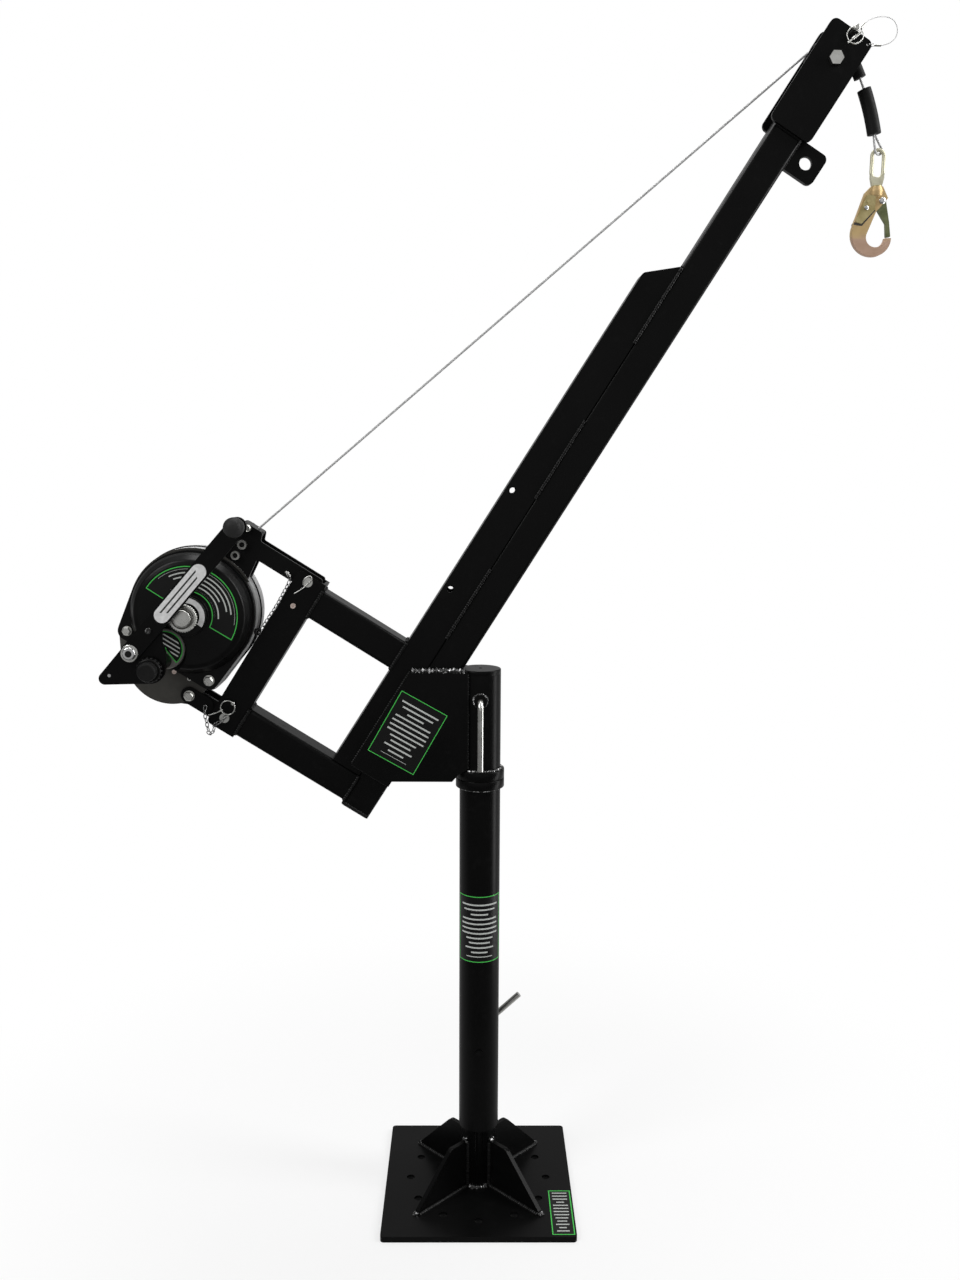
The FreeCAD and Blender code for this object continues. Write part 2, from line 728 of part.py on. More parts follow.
def make_keeper():
    """Quick-release pin across the fork, with its ring hanging from the head."""
    front = fork_face + keeper_standoff
    pin = disc(keeper_along, half_tube, keeper_diameter / 2, -fork_face - keeper_tail, front)
    head_radius = keeper_head_diameter / 2
    head_top = front + keeper_head_length
    head = turned([(0, front, 0), (head_radius, front, keeper_neck_round),
                   (head_radius, head_top, keeper_head_round), (0, head_top, 0)], keeper_along, half_tube)
    ring_wire = keeper_ring_wire / 2
    ring_front = front - ring_wire - running_gap
    nodes["keeper_pin"] = placed(pin.fuse(head).removeSplitter(), boom_frame)
    hang = keeper_ring_radius - keeper_diameter / 2 - ring_wire - running_gap
    ring = Part.makeTorus(keeper_ring_radius, ring_wire, V(keeper_along, half_tube, ring_front))
    down = boom_frame.inverse().Rotation.multVec(V(0, 0, -1))
    ring.translate(down * hang)
    nodes["keeper_ring"] = placed(ring, boom_frame)


def make_lanyard():
    """Wire loop that keeps the keeper pin with the fork, crimped to an eye in the front plate."""
    bends = []
    for before, here, after in zip(lanyard_route, lanyard_route[1:], lanyard_route[2:]):
        half_turn = (here - before).getAngle(after - here) / 2
        shorter = min((here - before).Length, (after - here).Length)
        bends.append(lanyard_bend_share * shorter / math.tan(half_turn))
    path = bent_path(lanyard_route, bends)
    print("lanyard length %.1f, bend radii" % path.Length, [round(bend, 1) for bend in bends])
    radius = lanyard_diameter / 2
    nodes["pin_lanyard"] = swept(path, radius)
    low = half_tube - fork_width / 2
    hole = boom_frame.multVec(V(fork_tip - lanyard_hole_inset, low + lanyard_hole_inset,
                                fork_face - fork_thickness / 2))
    eye = Part.makeTorus(lanyard_eye_radius, radius, hole + V(lanyard_eye_radius, 0, 0))
    crimp = hole + V(2 * lanyard_eye_radius - radius, 0, 0)
    along = lanyard_route[-1] - crimp
    ferrule = Part.makeCylinder(ferrule_diameter / 2, along.Length, crimp, along)
    nodes["lanyard_end"] = eye.fuse(ferrule).removeSplitter()


def rope_run():
    """Start of the taut rope in its guide, and the angle that it rises at to the sheave."""
    start = boom_frame.multVec(V(guide_top - rope_start_depth, drum_out - rope_offset, 0))
    gap = axle_centre - start
    return start, math.atan2(gap.z, gap.x) + math.asin(sheave_pitch_radius / gap.Length)


def polar(centre, radius, turn):
    return centre + V(math.cos(turn), 0, math.sin(turn)) * radius


def on_hang(distance):
    """Point of the hanging rope at a distance from where it leaves the sheave."""
    return polar(hang_centre, hang_bend, hang_turn - distance / hang_bend)


def make_rope():
    start, rise = rope_run()
    arrive = polar(axle_centre, sheave_pitch_radius, rise + math.pi / 2)
    crown = polar(axle_centre, sheave_pitch_radius, (rise + math.pi / 2 + hang_turn) / 2)
    leave, middle, finish = (on_hang(rope_sleeve_end * share) for share in (0, 0.5, 1))
    path = Part.Wire([Part.LineSegment(start, arrive).toShape(), Part.Arc(arrive, crown, leave).toShape(),
                      Part.Arc(leave, middle, finish).toShape()])
    nodes["wire_rope"] = swept(path, rope_radius)
    bumper = rope_jacket(bumper_diameter, bumper_start - bumper_length, bumper_start)
    rim = Part.makeCylinder(sheave_rim_radius + bumper_rim_gap, 2 * tube_width,
                            axle_centre + V(0, tube_width, 0), front_axis)
    nodes["rope_bumper"] = bumper.cut(rim)
    nodes["rope_end_sleeve"] = rope_jacket(rope_sleeve_diameter, rope_sleeve_start, rope_sleeve_end)


def rope_jacket(diameter, start, end):
    """Sleeve round the hanging rope between two distances from the sheave."""
    first = hang_turn - end / hang_bend
    span = math.degrees((end - start) / hang_bend)
    heading = V(-math.sin(first), 0, math.cos(first))
    outer = Part.Face(Part.Wire(Part.makeCircle(diameter / 2, on_hang(end), heading)))
    inner = Part.Face(Part.Wire(Part.makeCircle(rope_radius + sleeve_fit_gap, on_hang(end), heading)))
    return outer.cut(inner).revolve(hang_centre, front_axis, span)


def make_rope_eye():
    """Loop of the rope below its sleeve, turned so that it shows half open from the front."""
    top = on_hang(rope_sleeve_end + eye_sleeve_gap)
    bar_bottom = hook_top + link_height - link_bar
    loop_centre = V(hook_reach, 0, bar_bottom + eye_loop_radius - rope_radius - eye_loop_slack)
    turn = math.radians(eye_loop_turn)
    across = V(math.cos(turn), math.sin(turn), 0)
    right = loop_centre + across * eye_loop_radius
    left = loop_centre - across * eye_loop_radius
    bottom = loop_centre - V(0, 0, eye_loop_radius)
    apart = across * (rope_radius + eye_strand_gap)
    path = Part.Wire([Part.LineSegment(top - apart, left).toShape(), Part.Arc(left, bottom, right).toShape(),
                      Part.LineSegment(right, top + apart).toShape()])
    nodes["rope_eye"] = swept(path, rope_radius)


def make_swivel_link():
    """Flat link that the rope eye pulls on, with the headed stem that the hook turns on."""
    half = link_bar / 2
    side = link_width / 2
    foot = link_foot_width / 2
    outline = [(-foot, swivel_neck_height, link_foot_round), (foot, swivel_neck_height, link_foot_round),
               (side, link_shoulder, link_shoulder_round), (side, link_height, link_top_round),
               (-side, link_height, link_top_round), (-side, link_shoulder, link_shoulder_round)]
    slot_side = side - link_bar
    slot = rectangle(-slot_side, slot_side, link_slot_bottom, link_height - link_bar, link_slot_round)
    link = plate(outline, -half, half).cut(plate(slot, -link_bar, link_bar))
    link = placed(link, front_frame(hook_reach, hook_top))
    neck_top = hook_top + swivel_neck_height
    button_bottom = hook_top - swivel_button_drop
    stem = disc(hook_reach, 0, swivel_stem_radius, button_bottom, neck_top + half)
    neck = disc(hook_reach, 0, swivel_neck_radius, hook_top, neck_top)
    button = disc(hook_reach, 0, swivel_button_radius, button_bottom, button_bottom + swivel_button_height)
    nodes["swivel_link"] = link.fuse([neck, stem, button]).removeSplitter()


def hook_outline():
    """Snap hook seen from the front, about its swivel axis, from neck to bow."""
    def spots(pairs):
        return [V(x, y, 0) for x, y in pairs]

    def lines(points):
        return [Part.LineSegment(a, b).toShape() for a, b in zip(points, points[1:])]

    edges = lines(spots(hook_back))
    edges += [Part.Arc(*spots(hook_bow_outer)).toShape(), Part.Arc(*spots(hook_nose)).toShape()]
    edges += lines(spots([hook_nose[-1], hook_bow_inner[0]])) + [Part.Arc(*spots(hook_bow_inner)).toShape()]
    edges += lines(spots(hook_throat))
    return Part.Face(Part.Wire(edges))


def make_hook():
    frame = front_frame(hook_reach, hook_top)
    half = hook_thickness / 2
    body = hook_outline()
    body.translate(V(0, 0, -half))
    body = placed(body.extrude(V(0, 0, hook_thickness)), frame)
    head = turned(hook_head, hook_reach, 0)
    head.translate(V(0, 0, hook_top))
    side_room = gate_thickness / 2 + gate_side_gap
    body = body.fuse(head).cut(placed(plate(gate_room, -side_room, side_room), frame))
    button_bottom = hook_top - swivel_button_drop
    button_top = button_bottom + swivel_button_height
    body = body.cut(disc(hook_reach, 0, swivel_stem_radius + running_gap, button_bottom, hook_top))
    body = body.cut(disc(hook_reach, 0, swivel_button_radius + running_gap,
                         button_bottom - running_gap, button_top + running_gap))
    rivet = rivet_diameter / 2
    body = body.cut(placed(disc(*gate_pivot, rivet, -tube_width, tube_width), frame))
    nodes["hook_body"] = body.removeSplitter()
    cheek_top = half + hook_cheek
    cheeks = plate(lock_outline, half, cheek_top).fuse(plate(lock_outline, -cheek_top, -half))
    lock = cheeks.fuse(disc(*lock_rivet, rivet, cheek_top, cheek_top + rivet_head_height))
    head_room = placed(turned(hook_head), FreeCAD.Placement(V(), FreeCAD.Rotation(V(1, 0, 0), -90)))
    nodes["hook_lock"] = placed(lock.cut(head_room), frame)
    gate = plate(gate_outline, -gate_thickness / 2, gate_thickness / 2)
    gate = gate.cut(disc(*gate_pivot, rivet + slip_fit, -tube_width, tube_width))
    nodes["hook_gate"] = placed(gate, frame)
    rivet_top = half + rivet_head_height
    shank = disc(*gate_pivot, rivet, -rivet_top, rivet_top)
    head_radius = rivet_head_diameter / 2
    heads = [disc(*gate_pivot, head_radius, half, rivet_top),
             disc(*gate_pivot, head_radius, -rivet_top, -half)]
    nodes["gate_rivet"] = placed(shank.fuse(heads).removeSplitter(), frame)


def ears(radius, drum):
    """Three circles of the winch outline: drum, left ear and right ear."""
    return [(drum_along, drum_out, drum), (ear_along, drum_out + left_ear_shift, radius),
            (ear_along, drum_out + right_ear_shift, radius)]


def housing_slice(bottom, top):
    body = hull_plate(ears(ear_radius + housing_lip, housing_radius), bottom, top)
    return body.fuse(disc(lobe_along, lobe_out, lobe_radius, bottom, top)).removeSplitter()


def make_winch():
    half_gasket = gasket_thickness / 2
    joint_back = gasket_place - half_gasket
    joint_front = gasket_place + half_gasket
    nodes["winch_housing_rear"] = placed(housing_slice(housing_back, joint_back), boom_frame)
    nodes["winch_gasket"] = placed(housing_slice(joint_back, joint_front), boom_frame)
    nodes["winch_housing_front"] = placed(housing_slice(joint_front, housing_front), boom_frame)
    flange_top = housing_front + cover_flange
    flange = hull_plate(ears(ear_radius, cover_radius), housing_front, flange_top)
    rim = cover_radius - cover_step
    waist = (flange_top + cover_face) / 2
    boss_top = cover_face + cover_boss_height
    dome = turned([(0, flange_top, 0), (rim, flange_top, 0),
                   (rim, waist - cover_step_height, cover_step_round),
                   (rim - cover_step, waist, cover_step_round),
                   (cover_face_radius, cover_face - cover_crown_height, cover_crown),
                   (cover_face_radius - cover_crown, cover_face, cover_crown_round),
                   (cover_boss_radius, cover_face, cover_boss_foot),
                   (cover_boss_radius, boss_top, cover_boss_round), (0, boss_top, 0)], drum_along, drum_out)
    recess = disc(gear_along, gear_out, gear_radius + gear_recess_gap, flange_top, boss_top)
    nodes["winch_cover"] = placed(flange.fuse(dome.cut(recess)).removeSplitter(), boom_frame)
    gear = turned([(0, flange_top, 0), (gear_radius, flange_top, 0),
                   (gear_radius, gear_face, gear_edge_round), (0, gear_face, 0)], gear_along, gear_out)
    nodes["gear_case"] = placed(gear, boom_frame)
    dial_low = boss_top + dial_stem_height
    dial_high = dial_low + dial_flange_height
    dial_top = dial_high + dial_knob_height
    knob = dial_radius - dial_flange
    dial = turned([(0, boss_top, 0), (dial_stem_radius, boss_top, 0), (dial_stem_radius, dial_low, 0),
                   (dial_radius, dial_low, dial_flange_round), (dial_radius, dial_high, dial_flange_round),
                   (knob, dial_high, dial_flange_round), (knob, dial_top, dial_top_round),
                   (0, dial_top, 0)], drum_along, drum_out)
    nodes["engage_dial"] = placed(dial, boom_frame)


def make_winch_arms():
    """Pairs of flat arms that carry the winch in the frame channel, with the rope guide between them."""
    outer = half_tube - channel_wall - arm_fit
    inner = outer - arm_thickness
    housing = housing_slice(housing_back, housing_front)
    end = channel_inner + channel_wall + arm_heel_gap
    top = arm_top
    guide_low = drum_out - guide_offset - guide_width / 2
    guide_high = drum_out - guide_offset + guide_width / 2
    cheek_high = drum_out + arm_cheek_back
    cheek_low = drum_out - arm_cheek_front
    upper = [(top - arm_height, end, arm_round), (top, end, arm_round),
             (top, guide_low - arm_cheek_step, arm_inner_round), (guide_top, guide_low, arm_round),
             (guide_top, cheek_high, arm_cheek_round),
             (top - arm_cheek_low + arm_cheek_slope, cheek_high - arm_cheek_taper, 0),
             (top - arm_cheek_low, cheek_low, 0),
             (top - arm_height, cheek_low + arm_cheek_step, arm_inner_round)]
    low = lower_arm_bottom
    high = low + lower_arm_height
    lobe_end = lobe_out - lower_arm_end
    lower = [(low, end, arm_round), (high, end, arm_round), (high, lobe_end, 0),
             (low - lower_arm_flare, lobe_end, 0), (low, lobe_end - lower_arm_knee, arm_inner_round)]
    pins = mount_pin_places()
    for name, outline, (along, out) in (("upper", upper, pins[0]), ("lower", lower, pins[1])):
        hole = disc(along, out, mount_pin_diameter / 2 + pin_hole_fit, -tube_width, tube_width)
        for side, bottom in (("front", inner), ("back", -outer)):
            arm = plate(outline, bottom, bottom + arm_thickness).cut(housing).cut(hole)
            nodes["winch_arm_%s_%s" % (name, side)] = placed(arm, boom_frame)
        head_top = half_tube + mount_pin_head_height
        pin = disc(along, out, mount_pin_diameter / 2, -half_tube - mount_pin_tail, half_tube)
        pin = pin.fuse(disc(along, out, mount_pin_head / 2, half_tube, head_top)).removeSplitter()
        nodes["mount_pin_" + name] = placed(pin, boom_frame)
    outline = rectangle(top - arm_cheek_low, guide_top, guide_low, guide_high, guide_round)
    block = plate(outline, -inner, inner).cut(housing)
    start, rise = rope_run()
    heading = V(math.cos(rise), 0, math.sin(rise))
    bore = Part.makeCylinder(rope_radius + rope_bore_gap, frame_reach, start, heading)
    nodes["rope_guide"] = placed(block, boom_frame).cut(bore)


def make_crank():
    half = crank_arm_width / 2
    bracket = hull_plate([(hub_along, hub_out, hub_radius + hub_margin), (pivot_along, pivot_out, half),
                          (stop_along, stop_out, stop_radius)], crank_back, crank_front)
    bracket = bracket.cut(disc(pivot_along, pivot_out, pivot_bolt_radius, 0, arm_front))
    bracket = bracket.cut(disc(hub_along, hub_out, hub_shaft_radius, 0, arm_front))
    nodes["crank_bracket"] = placed(bracket, boom_frame)
    hub_top = crank_front + hub_height
    hub = turned([(0, gear_face + running_gap, 0), (hub_shaft_radius, gear_face + running_gap, 0),
                  (hub_shaft_radius, crank_front, 0), (hub_radius, crank_front, 0),
                  (hub_radius, hub_top, hub_round), (0, hub_top, 0)], hub_along, hub_out)
    nodes["crank_hub"] = placed(hub, boom_frame)
    bolt = disc(pivot_along, pivot_out, pivot_bolt_radius, crank_back, arm_front + running_gap)
    head_top = arm_front + pivot_head_height
    head = turned([(0, arm_front + running_gap, 0), (pivot_head_radius, arm_front + running_gap, 0),
                   (pivot_head_radius, head_top, pivot_head_round), (0, head_top, 0)],
                  pivot_along, pivot_out)
    nodes["crank_pivot_bolt"] = placed(bolt.fuse(head).removeSplitter(), boom_frame)
    grip_along, grip_out = grip_place()
    arm = hull_plate([(pivot_along, pivot_out, half), (grip_along, grip_out, half)], arm_back, arm_front)
    arm = arm.cut(disc(pivot_along, pivot_out, pivot_bolt_radius + running_gap, 0, arm_front + cut_over))
    stud = disc(grip_along, grip_out, grip_pin_radius, arm_front, arm_front + grip_pin_length)
    nodes["crank_arm"] = placed(arm.fuse(stud).removeSplitter(), boom_frame)
    bottom = arm_front + running_gap
    top = bottom + grip_length
    bore = grip_pin_radius + running_gap
    bore_end = bottom + grip_bore_length
    grip = turned([(bore, bottom, 0), (grip_radius - grip_waist, bottom, grip_waist_round),
                   (grip_radius, bottom + grip_swell_height, grip_swell_round),
                   (grip_radius, top, grip_radius - grip_end_flat), (0, top, 0), (0, bore_end, 0),
                   (bore, bore_end, 0)], grip_along, grip_out)
    nodes["crank_grip"] = placed(grip, boom_frame)


def grip_place():
    tilt = math.radians(crank_arm_tilt)
    return pivot_along + crank_arm_length * math.cos(tilt), pivot_out + crank_arm_length * math.sin(tilt)


make_base()
make_post()
make_sleeve()
make_boom()
make_knee()
make_winch_frame()
make_fork()
make_sheave()
make_keeper()
make_lanyard()
make_rope()
make_rope_eye()
make_swivel_link()
make_hook()
make_winch()
make_winch_arms()
make_crank()

os.makedirs("parts", exist_ok=True)
for node, shape in nodes.items():
    solids = len(shape.Solids)
    print("%-22s solids %d  volume %11.1f  valid %s" % (node, solids, shape.Volume, shape.isValid()))
    shape.exportStep("parts/%s.step" % node)
for name, spot in (("crank axis", (hub_along, hub_out, 0)), ("fold axis", (pivot_along, pivot_out, 0)),
                   ("grip axis", (*grip_place(), arm_front)), ("anchor eye", (eye_along, -eye_drop / 2, 0))):
    print(name, boom_frame.multVec(V(*spot)))
print("hook axis %.4f, top %.4f" % (hook_reach, hook_top))
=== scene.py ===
# %% [markdown]
# # Dressing a fall protection davit
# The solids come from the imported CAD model: a post on a base plate, a square-tube boom that turns on it, a
# rescue winch in a frame on the boom, and a wire rope that ends in a snap hook. Blender adds what a solid
# can't show: coats and platings, weld beads, bolts, rope strands and plain films. Loading comes first, so
# that every later piece can be placed by the CAD's own numbers.

import math

import bmesh
import bpy
from mathutils import Matrix, Vector


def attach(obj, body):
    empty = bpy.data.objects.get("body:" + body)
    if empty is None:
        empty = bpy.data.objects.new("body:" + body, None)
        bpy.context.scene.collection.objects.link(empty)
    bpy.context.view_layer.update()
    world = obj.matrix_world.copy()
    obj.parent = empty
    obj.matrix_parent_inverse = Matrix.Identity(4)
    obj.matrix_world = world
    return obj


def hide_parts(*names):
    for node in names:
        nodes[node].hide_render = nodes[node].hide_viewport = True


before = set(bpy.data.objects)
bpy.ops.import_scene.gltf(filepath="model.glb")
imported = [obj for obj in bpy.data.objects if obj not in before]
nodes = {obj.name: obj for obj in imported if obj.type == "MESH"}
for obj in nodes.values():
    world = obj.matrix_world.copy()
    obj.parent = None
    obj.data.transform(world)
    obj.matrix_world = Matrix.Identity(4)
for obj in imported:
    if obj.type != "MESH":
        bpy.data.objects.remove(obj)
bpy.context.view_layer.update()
scene = bpy.context.scene

# %% [markdown]
# Drawings of the davit are in millimetres, and Blender is in metres. Most fittings sit on the sloping boom, so
# their places are easiest to give in the boom's own directions: along it, out from its underside, and to the
# front. One small function turns such a place into the shared frame. The world's front is -Y.

# %% Places on the davit
MM = 0.001
TURN = 2 * math.pi
BOOM_SLOPE = math.radians(57.9)
BOOM_HEIGHT = 1224.0
ALONG = Vector((math.cos(BOOM_SLOPE), 0, math.sin(BOOM_SLOPE)))
OUT = Vector((-math.sin(BOOM_SLOPE), 0, math.cos(BOOM_SLOPE)))
FRONT = Vector((0, -1, 0))
UP = Vector((0, 0, 1))


def on_boom(along, out, front):
    """A place in the boom's own directions, in millimetres, as a point of the shared frame."""
    return (ALONG * along + OUT * out + FRONT * front + UP * BOOM_HEIGHT) * MM


def at(x, y, z):
    """A place in the shared frame, in millimetres."""
    return Vector((x, y, z)) * MM


print("boom tip at", on_boom(1362, 31.75, 0)[:])

# %% [markdown]
# Every finish and every tree below is wired from nodes. Written out by hand that is long and hard to read, so
# one small class wraps a socket: plus, minus, times and the rest add Math nodes, and one method adds any other
# node, its settings first and then its sockets. Reflected forms are there too, so that `1 - mask` works.

# %% A socket that Python's operators can reach
def operator(operation, swapped=False):
    """A method that adds a Math node for one of Python's operators."""
    def method(self, other):
        return self.maths(operation, *((other, self) if swapped else (self, other)))
    return method


class Wire:
    """A socket of a node tree. A Wire without a socket only carries the tree."""

    def __init__(self, tree, socket=None):
        self.tree = tree
        self.socket = socket

    def add(self, kind, settings=None, sockets=None, out=0):
        """Add a node: its settings first, then the values or links of its sockets. Returns one output."""
        node = self.tree.nodes.new(kind)
        for name, value in (settings or {}).items():
            setattr(node, name, value)
        for key, value in (sockets or {}).items():
            if isinstance(value, Wire):
                self.tree.links.new(value.socket, node.inputs[key])
            else:
                node.inputs[key].default_value = value
        return Wire(self.tree, node.outputs[out])

    def geo(self, kind, sockets=None, settings=None, out=0):
        """Add a Geometry Nodes node by its short name."""
        return self.add("GeometryNode" + kind, settings, sockets, out)

    def here(self):
        """The shaded place in object coordinates."""
        return self.add("ShaderNodeTexCoord", out="Object")

    def maths(self, operation, *values):
        return self.add("ShaderNodeMath", {"operation": operation}, dict(enumerate(values)))

    def vector(self, operation, *values, out=0):
        return self.add("ShaderNodeVectorMath", {"operation": operation}, dict(enumerate(values)), out)

    def mix(self, first, second):
        """Two colours, mixed by this value."""
        return self.add("ShaderNodeMix", {"data_type": "RGBA"}, {0: self, 6: first, 7: second}, 2)

    def ease(self, low, high):
        """This value eased from 0 at low to 1 at high."""
        return self.add("ShaderNodeMapRange", {"interpolation_type": "SMOOTHSTEP"},
                        {"Value": self, "From Min": low, "From Max": high})

    def axis(self, name):
        return self.add("ShaderNodeSeparateXYZ", None, {0: self}, name)

    __add__ = __radd__ = operator("ADD")
    __sub__, __rsub__ = operator("SUBTRACT"), operator("SUBTRACT", swapped=True)
    __mul__ = __rmul__ = operator("MULTIPLY")
    __truediv__ = operator("DIVIDE")
    __gt__, __lt__ = operator("GREATER_THAN"), operator("LESS_THAN")

    def __abs__(self):
        return self.maths("ABSOLUTE", self)


print("wire operators ready")

# %% [markdown]
# The photograph was taken from a little above the middle of the davit and almost square to its boom. The
# camera's place and tilt come from fitting the base plate, the post and the boom to it, so the render can be
# laid over the photograph. A matrix built from the three directions keeps the small roll exact.

# %% Camera at the photograph's place
IMAGE_HEIGHT = 1280
FOCAL_PIXELS = 1175.26
SENSOR = 36.0
CAMERA_PLACE = (-17.31, -2397.64, 1604.81)
CAMERA_TURNS = (0.387, 9.0307, -0.2463)
yaw, pitch, roll = (math.radians(turn) for turn in CAMERA_TURNS)
ahead = Vector((math.sin(yaw) * math.cos(pitch), math.cos(yaw) * math.cos(pitch), -math.sin(pitch)))
level = Vector((math.cos(yaw), -math.sin(yaw), 0))
down = ahead.cross(level)
right = level * math.cos(roll) + down * math.sin(roll)
up = level * math.sin(roll) - down * math.cos(roll)
lens = bpy.data.cameras.new("photo_camera")
lens.sensor_width = SENSOR
lens.lens = SENSOR * FOCAL_PIXELS / IMAGE_HEIGHT
camera = bpy.data.objects.new("photo_camera", lens)
camera.matrix_world = Matrix.Translation(at(*CAMERA_PLACE)) @ Matrix((right, up, -ahead)).transposed().to_4x4()
scene.collection.objects.link(camera)
scene.camera = camera
print("camera lens %.2f mm" % lens.lens)

# %% [markdown]
# The davit stands on plain white, but its black faces show that the room round it was dim: they reflect hardly
# anything, and only what is seen at a low angle turns grey. So the world is white to the camera and dimmer to
# reflections, darkest at the sides and on the floor in front. One bright window on the right gives the round
# sleeve its streak. The floor takes the davit's shadow and fades into the backdrop, so that no line shows.

# %% Studio
WORLD_LIGHT = 0.42
ROOM_LIGHT = 0.48
BACKDROP_LIGHT = 0.52
SIDE_SHADE = 0.7
NEAR_SHADE = 0.75
WINDOW_LIGHT = 5.0
FLOOR_GLOW = 0.62
FLOOR_SIDE = 40.0
scene.view_settings.view_transform = "Standard"
scene.world = bpy.data.worlds.new("studio")
scene.world.use_nodes = True


def ray_kinds(wire):
    """1 for what the camera sees, and 1 for what a reflection or a clear material sees."""
    path = {kind: wire.add("ShaderNodeLightPath", out=kind)
            for kind in ("Is Camera Ray", "Is Glossy Ray", "Is Transmission Ray")}
    return path["Is Camera Ray"], path["Is Glossy Ray"] + path["Is Transmission Ray"]


sky = Wire(scene.world.node_tree)
looked_at, mirrored = ray_kinds(sky)
way = sky.add("ShaderNodeTexCoord", out="Generated")
behind = way.axis("Y").ease(-0.75, 0.25)
aside = abs(way.axis("X")).ease(0.35, 0.85)


def window_in(place, near, far):
    """1 in a narrow upright band on the right."""
    slant = place.axis("Y") / place.axis("X")
    return place.axis("X").ease(near, far) * slant.ease(-0.16, -0.06) * (1 - slant.ease(0.12, 0.22))


reflected = (ROOM_LIGHT + (BACKDROP_LIGHT - ROOM_LIGHT) * behind) * (1 - SIDE_SHADE * aside)
reflected = reflected + WINDOW_LIGHT * window_in(way, 0.5, 0.7)
strength = looked_at + mirrored * reflected + (1 - looked_at) * (1 - mirrored) * WORLD_LIGHT
background = scene.world.node_tree.nodes["Background"]
background.inputs["Color"].default_value = (1, 1, 1, 1)
sky.tree.links.new(strength.socket, background.inputs["Strength"])
print("world light", WORLD_LIGHT, "room", ROOM_LIGHT)

# %% Floor
side = FLOOR_SIDE / 2
floor_mesh = bpy.data.meshes.new("floor")
corners = [(-side, -side, 0), (side, -side, 0), (side, side, 0), (-side, side, 0)]
floor_mesh.from_pydata(corners, [], [(0, 1, 2, 3)])
floor = bpy.data.objects.new("floor", floor_mesh)
scene.collection.objects.link(floor)
pale = bpy.data.materials.new("pale_floor")
pale.use_nodes = True
paint = pale.node_tree.nodes["Principled BSDF"]
paint.inputs["Base Color"].default_value = (0.86, 0.86, 0.86, 1)
paint.inputs["Roughness"].default_value = 0.9
paint.inputs["Specular IOR Level"].default_value = 0.0
ground = Wire(pale.node_tree)
looked_at, mirrored = ray_kinds(ground)
spot = ground.here()
away = spot.vector("LENGTH", spot, out="Value").ease(0.35, 1.5)
in_front = ROOM_LIGHT * (1 - NEAR_SHADE * spot.axis("Y").ease(-9.0, -3.0))
in_room = in_front + (BACKDROP_LIGHT - in_front) * spot.axis("Y").ease(-0.9, 0.1)
in_room = in_room + WINDOW_LIGHT * window_in(spot, 1.0, 2.0)
glow = ground.add("ShaderNodeEmission", sockets={"Strength": looked_at + mirrored * in_room})
share = looked_at * (FLOOR_GLOW + (1 - FLOOR_GLOW) * away) + mirrored
lit = Wire(pale.node_tree, paint.outputs[0])
surface = ground.add("ShaderNodeMixShader", sockets={0: share, 1: lit, 2: glow})
pale.node_tree.links.new(surface.socket, pale.node_tree.nodes["Material Output"].inputs["Surface"])
floor_mesh.materials.append(pale)
print("floor of", FLOOR_SIDE, "m")


# %% Lamps
def lamp(name, place, target, size, power):
    data = bpy.data.lights.new(name, "AREA")
    data.shape = "RECTANGLE"
    data.size, data.size_y = size
    data.energy = power
    body = bpy.data.objects.new(name, data)
    body.location = place
    body.rotation_euler = (Vector(target) - Vector(place)).to_track_quat("-Z", "Y").to_euler()
    scene.collection.objects.link(body)


lamp("key_left", (-2.6, -1.9, 3.6), (0, 0, 1.2), (1.4, 2.2), 60)
lamp("edge_right", (2.9, -0.6, 2.9), (0.2, 0, 1.2), (0.8, 2.4), 55)
lamp("overhead", (0.0, 0.6, 4.4), (0, 0, 1.0), (2.4, 1.6), 60)

# %% [markdown]
# A thin stiff wire keeps the keeper pin with the fork. It is the only free cord on the davit. It leaves the pin's
# head, rises in a loop and comes back to the crimped eye in the fork plate. The route's points are the control
# points of one smooth spline, which a round bevel makes into wire. Each point carries the wire's own radius,
# because Blender reckons a curve's box from it.

# %% Wire lanyard of the keeper pin
LANYARD_DIAMETER = 1.6
LANYARD_ROUTE = [
    (698.6, -73, 2388.0), (708, -71, 2396.5), (719.8, -68, 2403.8), (733.5, -65, 2408.6),
    (746.3, -61, 2410.2), (759.5, -58, 2408.8), (769.2, -55, 2402.8), (775.2, -52, 2392.0),
    (774.6, -49, 2379.5), (767.3, -46, 2371.2), (758.4, -43, 2367.4), (749.2, -40.5, 2366.3)]
wire_curve = bpy.data.curves.new("keeper_lanyard", "CURVE")
wire_curve.dimensions = "3D"
wire_curve.bevel_depth = 1.0
wire_curve.bevel_resolution = 3
wire_curve.resolution_u = 8
wire_curve.use_fill_caps = True
run = wire_curve.splines.new("NURBS")
run.points.add(len(LANYARD_ROUTE) - 1)
for point, place in zip(run.points, LANYARD_ROUTE):
    point.co = (*at(*place), 1)
    point.radius = LANYARD_DIAMETER / 2 * MM
run.order_u = 3
run.use_endpoint_u = True
lanyard = bpy.data.objects.new("keeper_lanyard", wire_curve)
scene.collection.objects.link(lanyard)
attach(lanyard, "boom")
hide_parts("pin_lanyard")
print("lanyard of", len(LANYARD_ROUTE), "control points")

# %% [markdown]
# A finish is one Principled shader. What is the same all over is set on the shader's own socket. What changes
# over the surface is wired from noise in object coordinates, so it stays put on the piece from any side. Noise
# scales are per metre: 9 gives hand-sized clouds, and 700 gives the fine orange peel of a sprayed coat.

# %% Helpers for finishes
def new_finish(name, constants):
    """A material with its constant sockets set. Returns the material and a wire into its tree."""
    material = bpy.data.materials.new(name)
    material.use_nodes = True
    shader = material.node_tree.nodes["Principled BSDF"]
    for socket, value in constants.items():
        shader.inputs[socket].default_value = value
    return material, Wire(material.node_tree)


